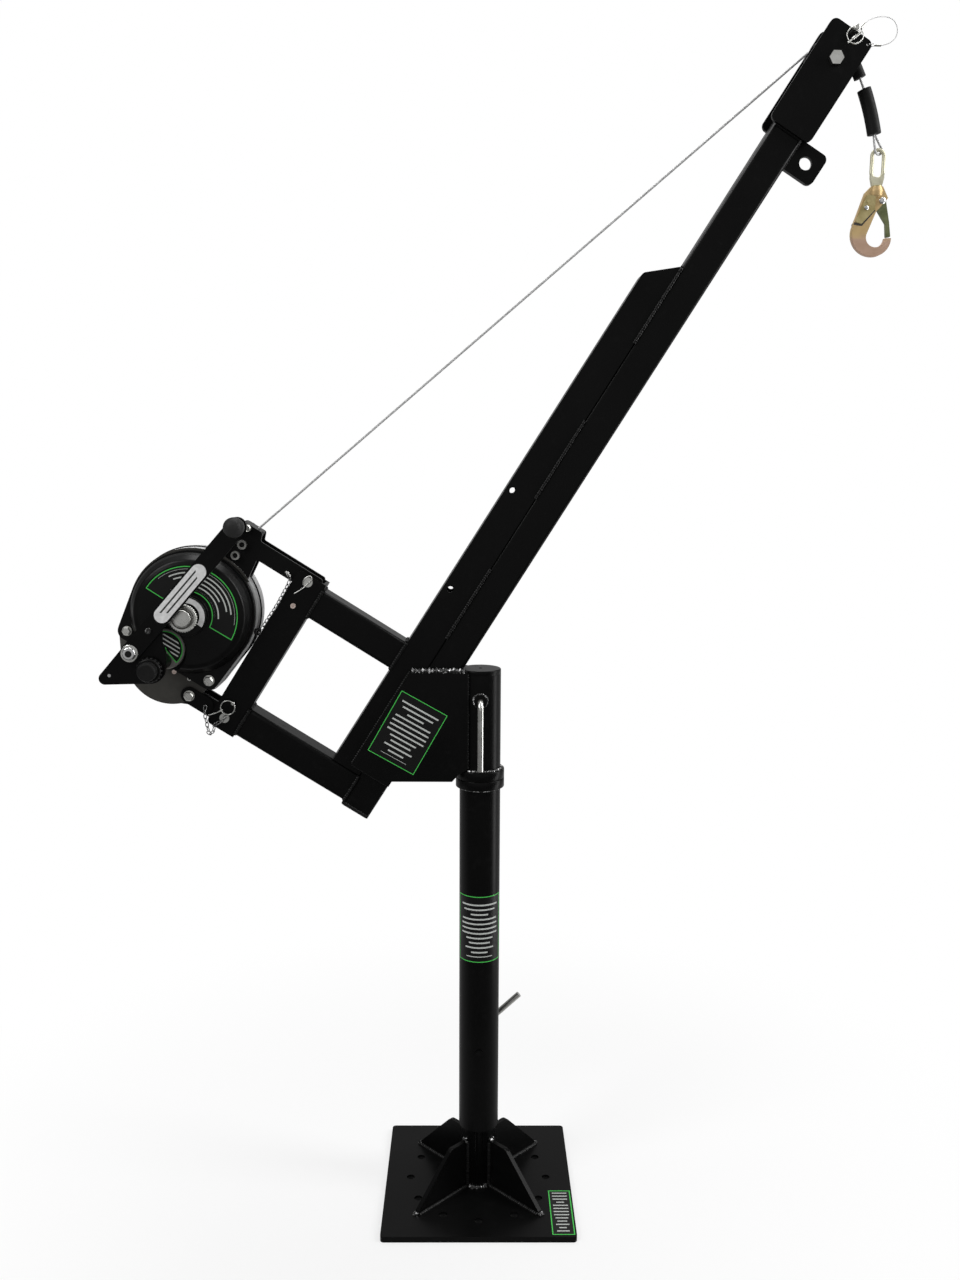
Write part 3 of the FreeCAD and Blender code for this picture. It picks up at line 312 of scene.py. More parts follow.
def feed(material, **varying):
    """Link what varies over the surface to the shader's sockets."""
    shader = material.node_tree.nodes["Principled BSDF"]
    for socket, wire in varying.items():
        material.node_tree.links.new(wire.socket, shader.inputs[socket.replace("_", " ")])


def noise(wire, scale, detail=2.0):
    """Soft noise in object coordinates, with so many clouds to the metre."""
    return wire.add("ShaderNodeTexNoise", None, {"Vector": wire.here(), "Scale": scale, "Detail": detail})


def bump(height, strength, depth):
    return height.add("ShaderNodeBump", None, {"Height": height, "Strength": strength, "Distance": depth * MM})


def grey(value):
    return (value, value, value, 1.0)


print("finish helpers ready")

# %% [markdown]
# Nearly everything is steel under a black powder coat. Real powder coat has fine orange peel, a gloss that
# drifts a little from place to place, and dust that dulls it. The black is kept very dark, and the gloss
# comes from the shader, so edges glint and faces stay black. On a bead the coat lies glossier, and on the
# crests of the lumpiest beads it is so thin that bright metal shows in small patches.

# %% Black powder coat
def sprayed(name, specular, rough, dark, dusty, peel):
    """Sprayed black: a drifting gloss, a little dust and orange peel of some strength."""
    material, wire = new_finish(name, {"Specular IOR Level": specular})
    drift = noise(wire, 7.0, 3.0)
    dust = noise(wire, 60.0, 4.0).ease(0.55, 0.75)
    feed(material, Base_Color=(0.5 * drift + 0.25 * dust).mix(grey(dark), grey(dusty)),
         Roughness=rough + 0.14 * drift + 0.08 * dust,
         Normal=bump(noise(wire, 700.0), peel, 0.3))
    return material


coat = sprayed("black_powder_coat", 0.09, 0.24, 0.0018, 0.006, 0.12)
seam_coat = sprayed("coated_seam", 0.22, 0.26, 0.003, 0.010, 0.5)
weld_coat, wire = new_finish("coated_weld", {"Specular IOR Level": 0.7})
bare = noise(wire, 150.0, 2.0).ease(0.54, 0.64)
feed(weld_coat, Base_Color=bare.mix(grey(0.006), grey(0.66)), Metallic=0.8 * bare,
     Roughness=0.16 + 0.2 * noise(wire, 90.0), Normal=bump(noise(wire, 420.0), 0.7, 0.5))
print("coats:", coat.name, seam_coat.name, weld_coat.name)

# %% [markdown]
# Pins, clips and bolts are zinc plated: bright and a little cloudy. The crank's pivot is smoother chrome, the
# link and the hook's small pieces are yellow or olive, and two screws are copper. The same function makes the
# grey paints, which are no metal. The gear case's paint is a paler copy of the dark one: painted light, to make up
# for the crank's shadow on the case. Colour and roughness drift in all of them.

# %% Bright metals
def metal(name, dark, bright, rough, spread, cloud=45.0, metallic=1.0, specular=0.5):
    """Plated metal whose colour runs between two tones, with a roughness and its spread."""
    material, wire = new_finish(name, {"Metallic": metallic, "Specular IOR Level": specular})
    clouds = noise(wire, cloud, 4.0)
    fine = noise(wire, 12 * cloud)
    feed(material, Base_Color=clouds.ease(0.25, 0.75).mix(dark, bright),
         Roughness=rough - spread / 2 + spread * (0.6 * clouds + 0.4 * fine),
         Normal=bump(fine, 0.08, 0.1))
    return material


ZINC = ((0.60, 0.60, 0.57, 1), (0.76, 0.76, 0.73, 1))
zinc = metal("zinc_plate", *ZINC, 0.28, 0.16)
chrome = metal("chrome_plate", grey(0.66), grey(0.82), 0.12, 0.10)
chain_steel = metal("chain_steel", grey(0.24), grey(0.42), 0.20, 0.14, 220.0)
rope_steel = metal("rope_wire", grey(0.46), grey(0.60), 0.42, 0.16, 220.0, 0.35)
link_zinc = metal("pale_zinc", (0.54, 0.51, 0.36, 1), (0.68, 0.66, 0.50, 1), 0.40, 0.18, 60.0, 0.6)
gold = metal("gold_zinc", (0.36, 0.29, 0.12, 1), (0.52, 0.44, 0.22, 1), 0.42, 0.18, 60.0, 0.6)
copper = metal("copper_plate", (0.70, 0.55, 0.49, 1), (0.88, 0.76, 0.70, 1), 0.30, 0.18, 55.0, 0.7)
olive = metal("olive_zinc", (0.11, 0.125, 0.055, 1), (0.21, 0.23, 0.115, 1), 0.42, 0.16, 70.0, 0.6)
PAINTED = (0.50, 0.16, 30.0, 0.0, 0.3)
gear_grey = metal("grey_gear_paint", (0.046, 0.044, 0.040, 1), (0.066, 0.063, 0.057, 1), *PAINTED)
# Painted light: the same dark grey paint made paler for the gear case, to make up for the crank's shadow on it.
gear_paint_lightened_for_shade = metal("gear_case_paint_lightened_for_shade", (0.115, 0.111, 0.103, 1), (0.155, 0.150, 0.138, 1), *PAINTED)
print("metals:", [m.name for m in bpy.data.materials if m.node_tree and "zinc" in m.name])

# %% [markdown]
# Three pieces change over their length. The winch's housing is bare aluminium on its rim and painted a dark
# brown grey on its front face. The hook's plating turns from yellow above to rose on its bow. The pin through
# the post has its near end under the coat. Each is one shader whose mask comes from the place on the piece.

# %% Finishes in two tones
PAINT_LINE = -25.5
BARE_RIM = (-545.0, 1345.0)
HOOK_BORDER = (2019.0, 2033.0)
PIN_DIP = -30.0


def place_of(wire, axis):
    """A coordinate of the shaded place, in millimetres."""
    return wire.here().axis(axis) / MM


casting, wire = new_finish("cast_aluminium", {"Specular IOR Level": 0.25})
clouds = noise(wire, 90.0, 4.0)
bare = (1 - (place_of(wire, "X") < BARE_RIM[0])) * (place_of(wire, "Z") < BARE_RIM[1])
painted = (place_of(wire, "Y") < PAINT_LINE) * (1 - bare)
feed(casting, Base_Color=painted.mix(clouds.mix(grey(0.46), grey(0.56)),
                                     clouds.mix((0.030, 0.029, 0.026, 1), (0.044, 0.042, 0.037, 1))),
     Metallic=0.25 - 0.25 * painted, Roughness=0.50 + 0.14 * clouds)
plating, wire = new_finish("hook_plating", {"Metallic": 0.55})
clouds = noise(wire, 55.0, 4.0)
yellow = (place_of(wire, "Z") + 24 * (clouds - 0.5)).ease(*HOOK_BORDER)
feed(plating, Base_Color=yellow.mix(clouds.mix((0.44, 0.28, 0.19, 1), (0.60, 0.42, 0.32, 1)),
                                    clouds.mix((0.50, 0.34, 0.15, 1), (0.66, 0.50, 0.26, 1))),
     Roughness=0.46 + 0.14 * clouds)
dipped, wire = new_finish("dipped_pin", {"Specular IOR Level": 0.1})
clouds = noise(wire, 45.0, 4.0)
under_coat = place_of(wire, "Y") < PIN_DIP
feed(dipped, Base_Color=under_coat.mix(clouds.mix(*ZINC), grey(0.004)),
     Metallic=1 - under_coat, Roughness=0.24 + 0.14 * clouds)
print("two-tone finishes:", casting.name, plating.name, dipped.name)

# %% [markdown]
# The winch's cover, the hub and the grip are moulded plastic, and the gasket, the bumper and the rope's end
# sleeve are rubber. Both are black here, but plastic has a fine moulded grain, and rubber is duller and dustier.

# %% Plastics and rubber
def moulded(name, dark, pale_tone, rough, grain, depth):
    material, wire = new_finish(name, {"Specular IOR Level": 0.13})
    clouds = noise(wire, 30.0, 3.0)
    feed(material, Base_Color=clouds.mix(dark, pale_tone), Roughness=rough + 0.14 * clouds,
         Normal=bump(noise(wire, grain), 0.25, depth))
    return material


cover_plastic = moulded("cover_plastic", grey(0.0018), grey(0.005), 0.22, 900.0, 0.1)
grip_plastic = moulded("grip_plastic", grey(0.012), grey(0.028), 0.46, 1200.0, 0.25)
rubber = moulded("black_rubber", grey(0.004), grey(0.012), 0.50, 800.0, 0.3)
print("moulded:", cover_plastic.name, grip_plastic.name, rubber.name)

# %% [markdown]
# Each CAD node now gets its finish by its slot in the record. Plates and tubes of a real davit have edges broken
# by the saw and rounded by the coat, and those edges are what glints. Weld joins the loose CAD triangles and
# Bevel rounds every sharp edge by about a millimetre, without touching the CAD mesh.

# %% Coat the CAD nodes and break their edges
SLOT_FINISH = {
    "black_coat": coat, "bright_steel": zinc, "chrome_bolt": chrome, "rope_steel": rope_steel,
    "cast_aluminium": casting, "gear_grey": gear_grey, "black_cover": cover_plastic,
    "grip_plastic": grip_plastic, "black_rubber": rubber, "gold_zinc": gold, "olive_zinc": olive}
EDGE_ROUND = {"black_coat": 1.3, "cast_aluminium": 1.0, "gold_zinc": 1.2, "olive_zinc": 0.9,
              "black_rubber": 1.0, "gear_grey": 0.8}
NODE_ROUND = {"base_plate": 2.2, "post": 0.0, "boom_sleeve": 0.0}
EDGE_ANGLE = math.radians(40)


def break_edges(piece, width):
    weld = piece.modifiers.new("join", "WELD")
    weld.merge_threshold = 0.00002
    bevel = piece.modifiers.new("break_edges", "BEVEL")
    bevel.width = width * MM
    bevel.segments = 2
    bevel.limit_method = "ANGLE"
    bevel.angle_limit = EDGE_ANGLE
    bevel.harden_normals = True


for name, piece in nodes.items():
    slot_name = piece.data.materials[0].name
    piece.data.materials[0] = SLOT_FINISH[slot_name]
    width = NODE_ROUND.get(name, EDGE_ROUND.get(slot_name, 0.0))
    if width:
        break_edges(piece, width)
lanyard.data.materials.append(rope_steel)
# The gear case gets the paler paint, which carries painted light against the crank's shadow.
for name, finish in (("hook_body", plating), ("swivel_link", link_zinc), ("post_pin", dipped),
                     ("gear_case", gear_paint_lightened_for_shade)):
    nodes[name].data.materials[0] = finish
print("finished", len(nodes), "CAD nodes")

# %% [markdown]
# Beads, bolts, strands and links repeat or follow a path, so Geometry Nodes make them. Each tree takes a seed
# mesh, either lines to follow or points to sit on, and named sizes. It ends in Realize Instances and Set
# Material, and the evaluated result is kept as a plain mesh that rides on one body.

# %% Helpers for growing pieces
def new_tree(name, sizes):
    """A Geometry Nodes tree with a seed, named sizes and a finish. Returns it and its input wires."""
    tree = bpy.data.node_groups.new(name, "GeometryNodeTree")
    kinds = {label: "Int" if isinstance(value, int) else "Float" for label, value in sizes.items()}
    for label, kind in {"Seed": "Geometry", **kinds, "Finish": "Material"}.items():
        socket = tree.interface.new_socket(label, in_out="INPUT", socket_type="NodeSocket" + kind)
        if label in sizes:
            socket.default_value = sizes[label]
    tree.interface.new_socket("Piece", in_out="OUTPUT", socket_type="NodeSocketGeometry")
    entry = tree.nodes.new("NodeGroupInput")
    return tree, {socket.name: Wire(tree, socket) for socket in entry.outputs if socket.name}


def close_tree(tree, wires, shape, smooth=True):
    shape = shape.geo("RealizeInstances", {0: shape})
    shape = shape.geo("SetShadeSmooth", {"Geometry": shape, "Shade Smooth": smooth})
    shape = shape.geo("SetMaterial", {"Geometry": shape, "Material": wires["Finish"]})
    tree.links.new(shape.socket, tree.nodes.new("NodeGroupOutput").inputs[0])


def keep(name, mesh, body):
    """A finished mesh as a piece that rides on a body."""
    piece = bpy.data.objects.new(name, mesh)
    scene.collection.objects.link(piece)
    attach(piece, body)
    print(name, len(mesh.polygons), "faces on", body)
    return piece


def grow(name, tree, seed, finish, body="boom", sizes=None, place=None):
    """Run a tree on a seed mesh, with its sizes set by socket identifier, and keep the plain result."""
    source = bpy.data.objects.new(name + "_seed", seed)
    scene.collection.objects.link(source)
    modifier = source.modifiers.new("grow", "NODES")
    modifier.node_group = tree
    values = {"Finish": finish, **(sizes or {})}
    for socket in tree.interface.items_tree:
        if socket.in_out == "INPUT" and socket.name in values:
            modifier[socket.identifier] = values[socket.name]
    ready = bpy.context.evaluated_depsgraph_get()
    mesh = bpy.data.meshes.new_from_object(source.evaluated_get(ready), depsgraph=ready)
    bpy.data.objects.remove(source)
    mesh.name = name
    if place:
        mesh.transform(place)
    return keep(name, mesh, body)


print("growing helpers ready")


# %% Helpers for seeds
def line_seed(runs):
    """A mesh of open lines for a tree to follow."""
    mesh = bpy.data.meshes.new("lines")
    spots, edges = [], []
    for points in runs:
        first = len(spots)
        spots += points
        edges += [(i, i + 1) for i in range(first, len(spots) - 1)]
    mesh.from_pydata(spots, edges, [])
    return mesh


def point_seed(rows):
    """A mesh of points for a tree to sit on, from rows of place, facing and size."""
    mesh = bpy.data.meshes.new("points")
    mesh.from_pydata([place for place, _, _ in rows], [], [])
    mesh.attributes.new("facing", "FLOAT_VECTOR", "POINT")
    mesh.attributes.new("size", "FLOAT", "POINT")
    for i, (_, direction, width) in enumerate(rows):
        mesh.attributes["facing"].data[i].vector = direction
        mesh.attributes["size"].data[i].value = width * MM
    return mesh


def boom_matrix(along, out, front):
    """A frame at a place on the boom: x along it, y out from it, z to the front."""
    turn = Matrix((ALONG, OUT, FRONT)).transposed().to_4x4()
    return Matrix.Translation(on_boom(along, out, front)) @ turn


def spread(count, first=0.0, last=TURN):
    """Evenly spaced values from one to another, by default the angles of a full turn."""
    return [first + (last - first) * i / count for i in range(count + 1)]


def circle(centre, radius, angles):
    """Points round an upright axis."""
    return [centre + Vector((math.cos(a), math.sin(a), 0)) * radius * MM for a in angles]


def swing(centre, radius, angles):
    """Points of an arc in the plane of the boom."""
    return [centre + Vector((math.cos(a), 0, math.sin(a))) * radius * MM for a in angles]


def hoop(along, out, front, radius, count=40):
    """Points of a circle that faces the front, at a place on the boom."""
    return [on_boom(along + radius * math.cos(a), out + radius * math.sin(a), front) for a in spread(count)]


print("seed helpers ready")

# %% [markdown]
# Steel davits are welded by hand. A bead is a row of small overlapping ripples in the corner between two plates,
# and under black coat its lumps are what catches the light. No two runs have the same length, so a tree sweeps
# a round section along each line and makes its radius ripple. With the ripples off it makes bent wire.

# %% Weld bead tree
BEAD_RIPPLE = 5.0
LUMP_SCALE = 130.0
SMOOTH, FLAT, CALM, LUMPY, ROUGH, WILD = (0.0, 0.0), (0.06, 0.2), (0.12, 0.5), (0.2, 0.8), (0.2, 0.9), (0.25, 1.1)


def followed(w, step):
    """The seed's lines as curves, with points a step apart."""
    line = w["Seed"].geo("MeshToCurve", {0: w["Seed"]})
    return line.geo("ResampleCurve", {"Curve": line, "Length": step}, {"mode": "LENGTH"})


def tube(line, sides, radius, more=None):
    """A round section swept along curves."""
    section = line.geo("CurvePrimitiveCircle", {"Resolution": sides, "Radius": radius})
    return line.geo("CurveToMesh", {"Curve": line, "Profile Curve": section, **(more or {})})


weld_tree, w = new_tree("weld_bead", {"Width": 8 * MM, "Ripple": BEAD_RIPPLE * MM, "Swell": 0.0, "Unevenness": 0.0})
line = followed(w, w["Ripple"] * 0.3)
travel = line.geo("SplineParameter", out="Length")
wave = travel.maths("SINE", travel * TURN / w["Ripple"])
where = line.geo("InputPosition")
lumps = where.add("ShaderNodeTexNoise", None, {"Vector": where, "Scale": LUMP_SCALE, "Detail": 2.0})
thickness = w["Width"] * 0.5 * (1 + w["Swell"] * wave + w["Unevenness"] * (lumps - 0.5))
close_tree(weld_tree, w, tube(line, 9, 1.0, {"Scale": thickness, "Fill Caps": True}))


def sweep(name, runs, width, finish, style=SMOOTH, body="boom", ripple=BEAD_RIPPLE):
    """Sweep a bead or a bent wire along runs of points. A style is its swell and its unevenness."""
    return grow(name, weld_tree, line_seed(runs), finish, body, {
        "Width": width * MM, "Ripple": ripple * MM, "Swell": style[0], "Unevenness": style[1]})


print("weld tree nodes:", len(weld_tree.nodes))

# %% [markdown]
# The welds of the mast are round the stub's foot, along both sides of each gusset, and under the post's collar.
# Places follow the plates: a gusset is 9.5 mm thick, so its beads run half of that to each side of its plane.

# %% Welds of the mast
PLATE_TOP = 12.7
STUB_RADIUS = 38.1
GUSSET_HALF = 4.75
GUSSET_TOP = 119.2
GUSSET_TOE = 184.0
END_HALF = 6
RING_SHARE = 0.32
COLLAR_FOOT = 913.6
COLLAR_RADIUS = 43.6


def on_gusset(number, reach, flank, height):
    """A place beside one of the four gussets, in millimetres from the post's axis and the gusset's plane."""
    heading = TURN * (number + 0.5) / 4
    outward = Vector((math.cos(heading), math.sin(heading), 0))
    across = Vector((-outward.y, outward.x, 0))
    return (outward * reach + across * flank + UP * height) * MM


seams, lumps = [], []
for i in range(4):
    angles = spread(48, TURN * (i - RING_SHARE) / 4, TURN * (i + RING_SHARE) / 4)
    lumps.append(circle(at(0, 0, PLATE_TOP + 1), STUB_RADIUS + 1, angles))
for i in range(4):
    for flank in (GUSSET_HALF, -GUSSET_HALF):
        seams += [[on_gusset(i, reach, flank, PLATE_TOP) for reach in (STUB_RADIUS, GUSSET_TOE)],
                  [on_gusset(i, STUB_RADIUS - 0.3, flank, z) for z in (PLATE_TOP, GUSSET_TOP - 2)]]
    lumps += [[on_gusset(i, reach, flank, z) for flank in (-END_HALF, END_HALF)]
              for reach, z in ((STUB_RADIUS, GUSSET_TOP + 1), (GUSSET_TOE + 1, PLATE_TOP))]
sweep("mast_seams", seams, 11, seam_coat, CALM, "mast")
sweep("mast_welds", lumps, 12, weld_coat, ROUGH, "mast")
collar = circle(at(0, 0, COLLAR_FOOT), COLLAR_RADIUS, spread(72))
sweep("post_collar_weld", [collar], 5, weld_coat, CALM, "mast")

# %% [markdown]
# On the boom, long beads hold the knee plates, and three stitches hold the stiffener to the tube. The frame's bars
# and the channel are welded all round, and so are the fork plates and the anchor eye. Front and back match.

# %% Welds of the boom
TUBE = 63.5
TUBE_FACE = 31.75
KNEE_TOP = 1164.0
KNEE_SPAN = (-4, 88.5)
KNEE_PROUD, SLEEVE_PROUD = 1.12, 1.14
KNEE_EDGES = [((-128, 89.5), (-357, 89.5)), ((-358, 88.5), (-358, 2))]
SLEEVE_EDGE = (-26, 960, 1160)
UPPER_BAR = (-145.5, -82)
LOWER_BAR = (-434, -372)
BAR_DEPTH = (-26, 26)
STIFFENER_OUT = 127
CHANNEL_OUT = 326
STITCHES = [(-31, 137), (304, 486), (662, 834)]
BOOM_FOOT = -438
FORK_START = 1147.5
EYE_SPAN = (1096, 1160)
EYE_HALF = 6.35
SLEEVE_RADIUS = 42.85
SLEEVE_FOOT = 954
FOOT_RADIUS = 44
BOSS_HEIGHT = 1104
BOSS_RADIUS = 13.6
runs, knee_runs, tip_runs = [], [], []
for face in (TUBE_FACE + 0.5, -TUBE_FACE - 0.5):
    wall = [(KNEE_TOP + 1 - BOOM_HEIGHT - OUT.z * t) / ALONG.z for t in KNEE_SPAN]
    knee_runs.append([on_boom(s, t, face * KNEE_PROUD) for s, t in zip(wall, KNEE_SPAN)])
    runs += [[on_boom(s, t, face) for s, t in edge] for edge in KNEE_EDGES]
    runs.append([at(SLEEVE_EDGE[0], -face * SLEEVE_PROUD, z) for z in SLEEVE_EDGE[1:]])
    spans = [(UPPER_BAR, STIFFENER_OUT), (LOWER_BAR, TUBE), (UPPER_BAR, CHANNEL_OUT), (LOWER_BAR, CHANNEL_OUT)]
    spans += [(stitch, TUBE) for stitch in STITCHES]
    runs += [[on_boom(s, out, face) for s in span] for span, out in spans]
    tip_runs.append([on_boom(FORK_START, t, face) for t in (4, 60)])
tip_runs += [[on_boom(s, 0, flank) for s in EYE_SPAN] for flank in (EYE_HALF, -EYE_HALF)]
inner_edge = LOWER_BAR[1] + 1
for along, out in ((UPPER_BAR[0], STIFFENER_OUT), (UPPER_BAR[1], STIFFENER_OUT), (inner_edge, TUBE),
                   (UPPER_BAR[0], CHANNEL_OUT), (UPPER_BAR[1], CHANNEL_OUT), (inner_edge, CHANNEL_OUT)):
    runs.append([on_boom(along, out, z) for z in BAR_DEPTH])
runs.append([on_boom(BOOM_FOOT, t, 31.5) for t in (4, 59)])
sweep("boom_seams", runs, 7, seam_coat, LUMPY)
sweep("tip_welds", tip_runs, 7, coat, FLAT)
sweep("knee_welds", knee_runs, 12, weld_coat, WILD, ripple=7)
boss_ring = [BOSS_RADIUS * Vector((math.cos(a), math.sin(a))) for a in spread(40)]
runs = [circle(at(0, 0, SLEEVE_FOOT), FOOT_RADIUS, spread(72)),
        [at(x, -math.sqrt(SLEEVE_RADIUS ** 2 - x * x), BOSS_HEIGHT + z) for x, z in boss_ring]]
sweep("sleeve_welds", runs, 6, weld_coat, LUMPY)

# %% [markdown]
# The winch is held together by hex bolts on washers and by socket screws. One tree puts a hex head on each point
# and turns it to face its own way. A second one sinks a round socket into a screw's head by pushing its top in.

# %% Bolt trees
def fastener_tree(name, head):
    """Sit a unit-sized head on each point, turned to its facing and scaled to its size."""
    tree, w = new_tree(name, {})
    start = w["Seed"]
    facing = start.geo("InputNamedAttribute", {"Name": "facing"}, {"data_type": "FLOAT_VECTOR"})
    size = start.geo("InputNamedAttribute", {"Name": "size"}, {"data_type": "FLOAT"})
    turn = start.add("FunctionNodeAlignRotationToVector", {"axis": "Z"}, {"Vector": facing})
    many = start.geo("InstanceOnPoints", {
        "Points": start, "Instance": head(start), "Rotation": turn, "Scale": size})
    close_tree(tree, w, many, smooth=False)
    return tree


def sit(name, tree, rows, finish, body="boom"):
    """Sit a fastener on each row of place, facing and size."""
    return grow(name, tree, point_seed(rows), finish, body)


def stack(start, *parts):
    """Join parts, each lifted to its own height."""
    joined = start.geo("JoinGeometry")
    for part, height in parts:
        lifted = start.geo("Transform", {"Geometry": part, "Translation": (0, 0, height)})
        start.tree.links.new(lifted.socket, joined.socket.node.inputs[0])
    return joined


def cylinder(start, sides, radius, depth):
    return start.geo("MeshCylinder", {"Vertices": sides, "Radius": radius, "Depth": depth})


def hex_head(start):
    crown = start.geo("MeshCone", {"Vertices": 6, "Radius Top": 0.46, "Radius Bottom": 0.577, "Depth": 0.1})
    return stack(start, (cylinder(start, 24, 0.62, 0.1), 0.05), (cylinder(start, 6, 0.577, 0.3), 0.25), (crown, 0.4))


def socket_head(start):
    body = cylinder(start, 16, 0.5, 0.5)
    facing_up = start.geo("InputNormal").axis("Z") > 0.9
    rim = start.geo("ExtrudeMesh", {"Mesh": body, "Selection": facing_up, "Offset Scale": 0.0})
    inner = Wire(rim.tree, rim.socket.node.outputs["Top"])
    rim = start.geo("ScaleElements", {"Geometry": rim, "Selection": inner, "Scale": 0.58})
    rim = start.geo("ExtrudeMesh", {"Mesh": rim, "Selection": inner, "Offset Scale": -0.3})
    return stack(start, (rim, 0.25))


hex_tree = fastener_tree("hex_bolts", hex_head)
socket_tree = fastener_tree("socket_screws", socket_head)
print("bolt trees:", hex_tree.name, socket_tree.name)

# %% Bolts and screws of the winch
HOUSING_BACK = -50
ARM_BACK = -24.9
FRONT_BOLTS = [(-362, 619, 38, 16), (-362, 427, 38, 18), (-413.8, 446, 29, 18), (-54.7, 520.7, 24.9, 13)]
FRONT_SOCKETS = [(-88.5, 511.9, 24.9, 19), (-114.4, 512.4, 24.9, 18), (-382.5, 463.7, 26, 9)]
rows = [(on_boom(s, t, z), FRONT, size) for s, t, z, size in FRONT_BOLTS]
rows += [(on_boom(s, t, HOUSING_BACK if s < -300 else ARM_BACK), -FRONT, size) for s, t, z, size in FRONT_BOLTS]
sit("winch_bolts", hex_tree, rows, zinc)
rows = [(on_boom(s, t, z), FRONT, size) for s, t, z, size in FRONT_SOCKETS]
sit("winch_screws", socket_tree, rows, zinc)

# %% [markdown]
# The rope is seven small ropes laid together. Six strands wind round the core, and they are what gives the real
# rope its fine slanting lines. A tree copies the rope's line six times and moves each copy on to a helix.

# %% Rope strands
SHEAVE_PITCH = 44.0
HANG_RADIUS = 484.3
SLEEVE_LENGTH = 158
strand_tree, w = new_tree("rope_strands", {
    "Strands": 6, "Lay": 32 * MM, "Helix": 1.55 * MM, "Strand": 0.85 * MM})
line = followed(w, w["Lay"] / 12)
copies = line.geo("DuplicateElements", {"Geometry": line, "Amount": w["Strands"]}, {"domain": "SPLINE"})
number = Wire(copies.tree, copies.socket.node.outputs["Duplicate Index"])
travel = line.geo("SplineParameter", out="Length")
wind = travel * TURN / w["Lay"] + number * TURN / w["Strands"]
normal = line.geo("InputNormal")
side_way = line.vector("CROSS_PRODUCT", normal, line.geo("InputTangent"))
cosine, sine = (wind.maths(kind, wind) * w["Helix"] for kind in ("COSINE", "SINE"))


def scaled(direction, amount):
    return direction.add("ShaderNodeVectorMath", {"operation": "SCALE"}, {0: direction, "Scale": amount})


shift = line.vector("ADD", scaled(normal, cosine), scaled(side_way, sine))
wound = line.geo("SetPosition", {"Geometry": copies, "Offset": shift})
close_tree(strand_tree, w, tube(wound, 5, w["Strand"], {"Fill Caps": True}))
axle = at(664.188, 0, 2342.554)
hang_centre = at(283.68, 0, 2121.0)
rope_start = at(-467.64, 0, 1438.26)
gap = axle - rope_start
rise = math.atan2(gap.z, gap.x) + math.asin(SHEAVE_PITCH * MM / gap.length)
hang_turn = math.radians(30.21)
sleeve_end = hang_turn - SLEEVE_LENGTH / HANG_RADIUS
rope_line = [rope_start] + swing(axle, SHEAVE_PITCH, spread(24, rise + TURN / 4, hang_turn))
rope_line += swing(hang_centre, HANG_RADIUS, spread(24, hang_turn, sleeve_end))[1:]
rope = grow("wire_rope_strands", strand_tree, line_seed([rope_line]), rope_steel)
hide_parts("wire_rope")
print("rope rises at %.1f degrees" % math.degrees(rise))

# %% [markdown]
# The dial's rim is milled with small scallops, and the crank's hub is a fluted knob. A ring of thin rods sunk
# into the rim gives both: the rods' outer halves are the flutes.

# %% Flutes of the dial and the hub
DRUM = (-260, 526)
HUB = (-374, 525)
DIAL_MIDDLE, HUB_MIDDLE = 116, 150.5
flute_tree, w = new_tree("flutes", {"Count": 40, "Ring": 27 * MM, "Rib": 1.2 * MM, "Height": 5 * MM})
ring = w["Seed"].geo("MeshCircle", {"Vertices": w["Count"], "Radius": w["Ring"]})
rib = cylinder(w["Seed"], 8, w["Rib"], w["Height"])
close_tree(flute_tree, w, ring.geo("InstanceOnPoints", {"Points": ring, "Instance": rib}))
grow("dial_scallops", flute_tree, line_seed([]), zinc, "boom",
     {"Count": 36, "Ring": 26.6 * MM, "Rib": 1.6 * MM, "Height": 5 * MM}, boom_matrix(*DRUM, DIAL_MIDDLE))
grow("hub_flutes", flute_tree, line_seed([]), cover_plastic, "crank",
     {"Count": 18, "Ring": 23.4 * MM, "Rib": 2.4 * MM, "Height": 12 * MM}, boom_matrix(*HUB, HUB_MIDDLE))

# %% [markdown]
# Thin films are stuck on the knee, the post, the base plate and the winch. Each is a closed sheet between two
# rows of points, which covers a rectangle, a sector of a ring, a rounded strip or a band round a tube alike.
# It is sunk a little into its face, so that nothing shows behind its edge.

# %% Thin plates
FILM_LIFT = 0.3
FILM_SINK = 0.2


def ringed(name, rings, finish, body):
    """A closed piece through rings of points."""
    shape = bmesh.new()
    rings = [[shape.verts.new(spot) for spot in ring] for ring in rings]
    for ring, following in zip(rings, rings[1:]):
        for k in range(len(ring)):
            shape.faces.new((ring[k], ring[k - 1], following[k - 1], following[k]))
    shape.faces.new(rings[0])
    shape.faces.new(rings[-1][::-1])
    bmesh.ops.recalc_face_normals(shape, faces=shape.faces)
    mesh = bpy.data.meshes.new(name)
    shape.to_mesh(mesh)
    shape.free()
    mesh.materials.append(finish)
    return keep(name, mesh, body)


def thin_plate(name, pairs, finish, body="boom", facings=FRONT, lift=FILM_LIFT, sink=FILM_SINK):
    """A closed sheet between two rows of points, lifted along one facing or along one for each pair."""
    if isinstance(facings, Vector):
        facings = [facings] * len(pairs)
    rings = []
    for (lower, upper), facing in zip(pairs, facings):
        top, foot = facing * lift * MM, facing * -sink * MM
        rings.append((lower + foot, upper + foot, upper + top, lower + top))
    return ringed(name, rings, finish, body)


def rounded_rows(length, width, radius, count=8):
    """Lower and upper edge of a rounded rectangle about its middle, as pairs of x and y."""
    turns = [math.pi / 2 * (i + 0.15) / (count + 0.15) for i in range(count + 1)]
    ends = [(length / 2 - radius * (1 - math.sin(a)), width / 2 - radius * (1 - math.cos(a))) for a in turns]
    left = [(-x, y) for x, y in reversed(ends)]
    return [((x, -y), (x, y)) for x, y in left + ends]


def ring_rows(inner, outer, low, high, count=40):
    """Inner and outer edge of a sector of a ring about its centre, between two angles in degrees."""
    turns = [math.radians(angle) for angle in spread(count, low, high)]
    return [((inner * math.cos(a), inner * math.sin(a)), (outer * math.cos(a), outer * math.sin(a))) for a in turns]


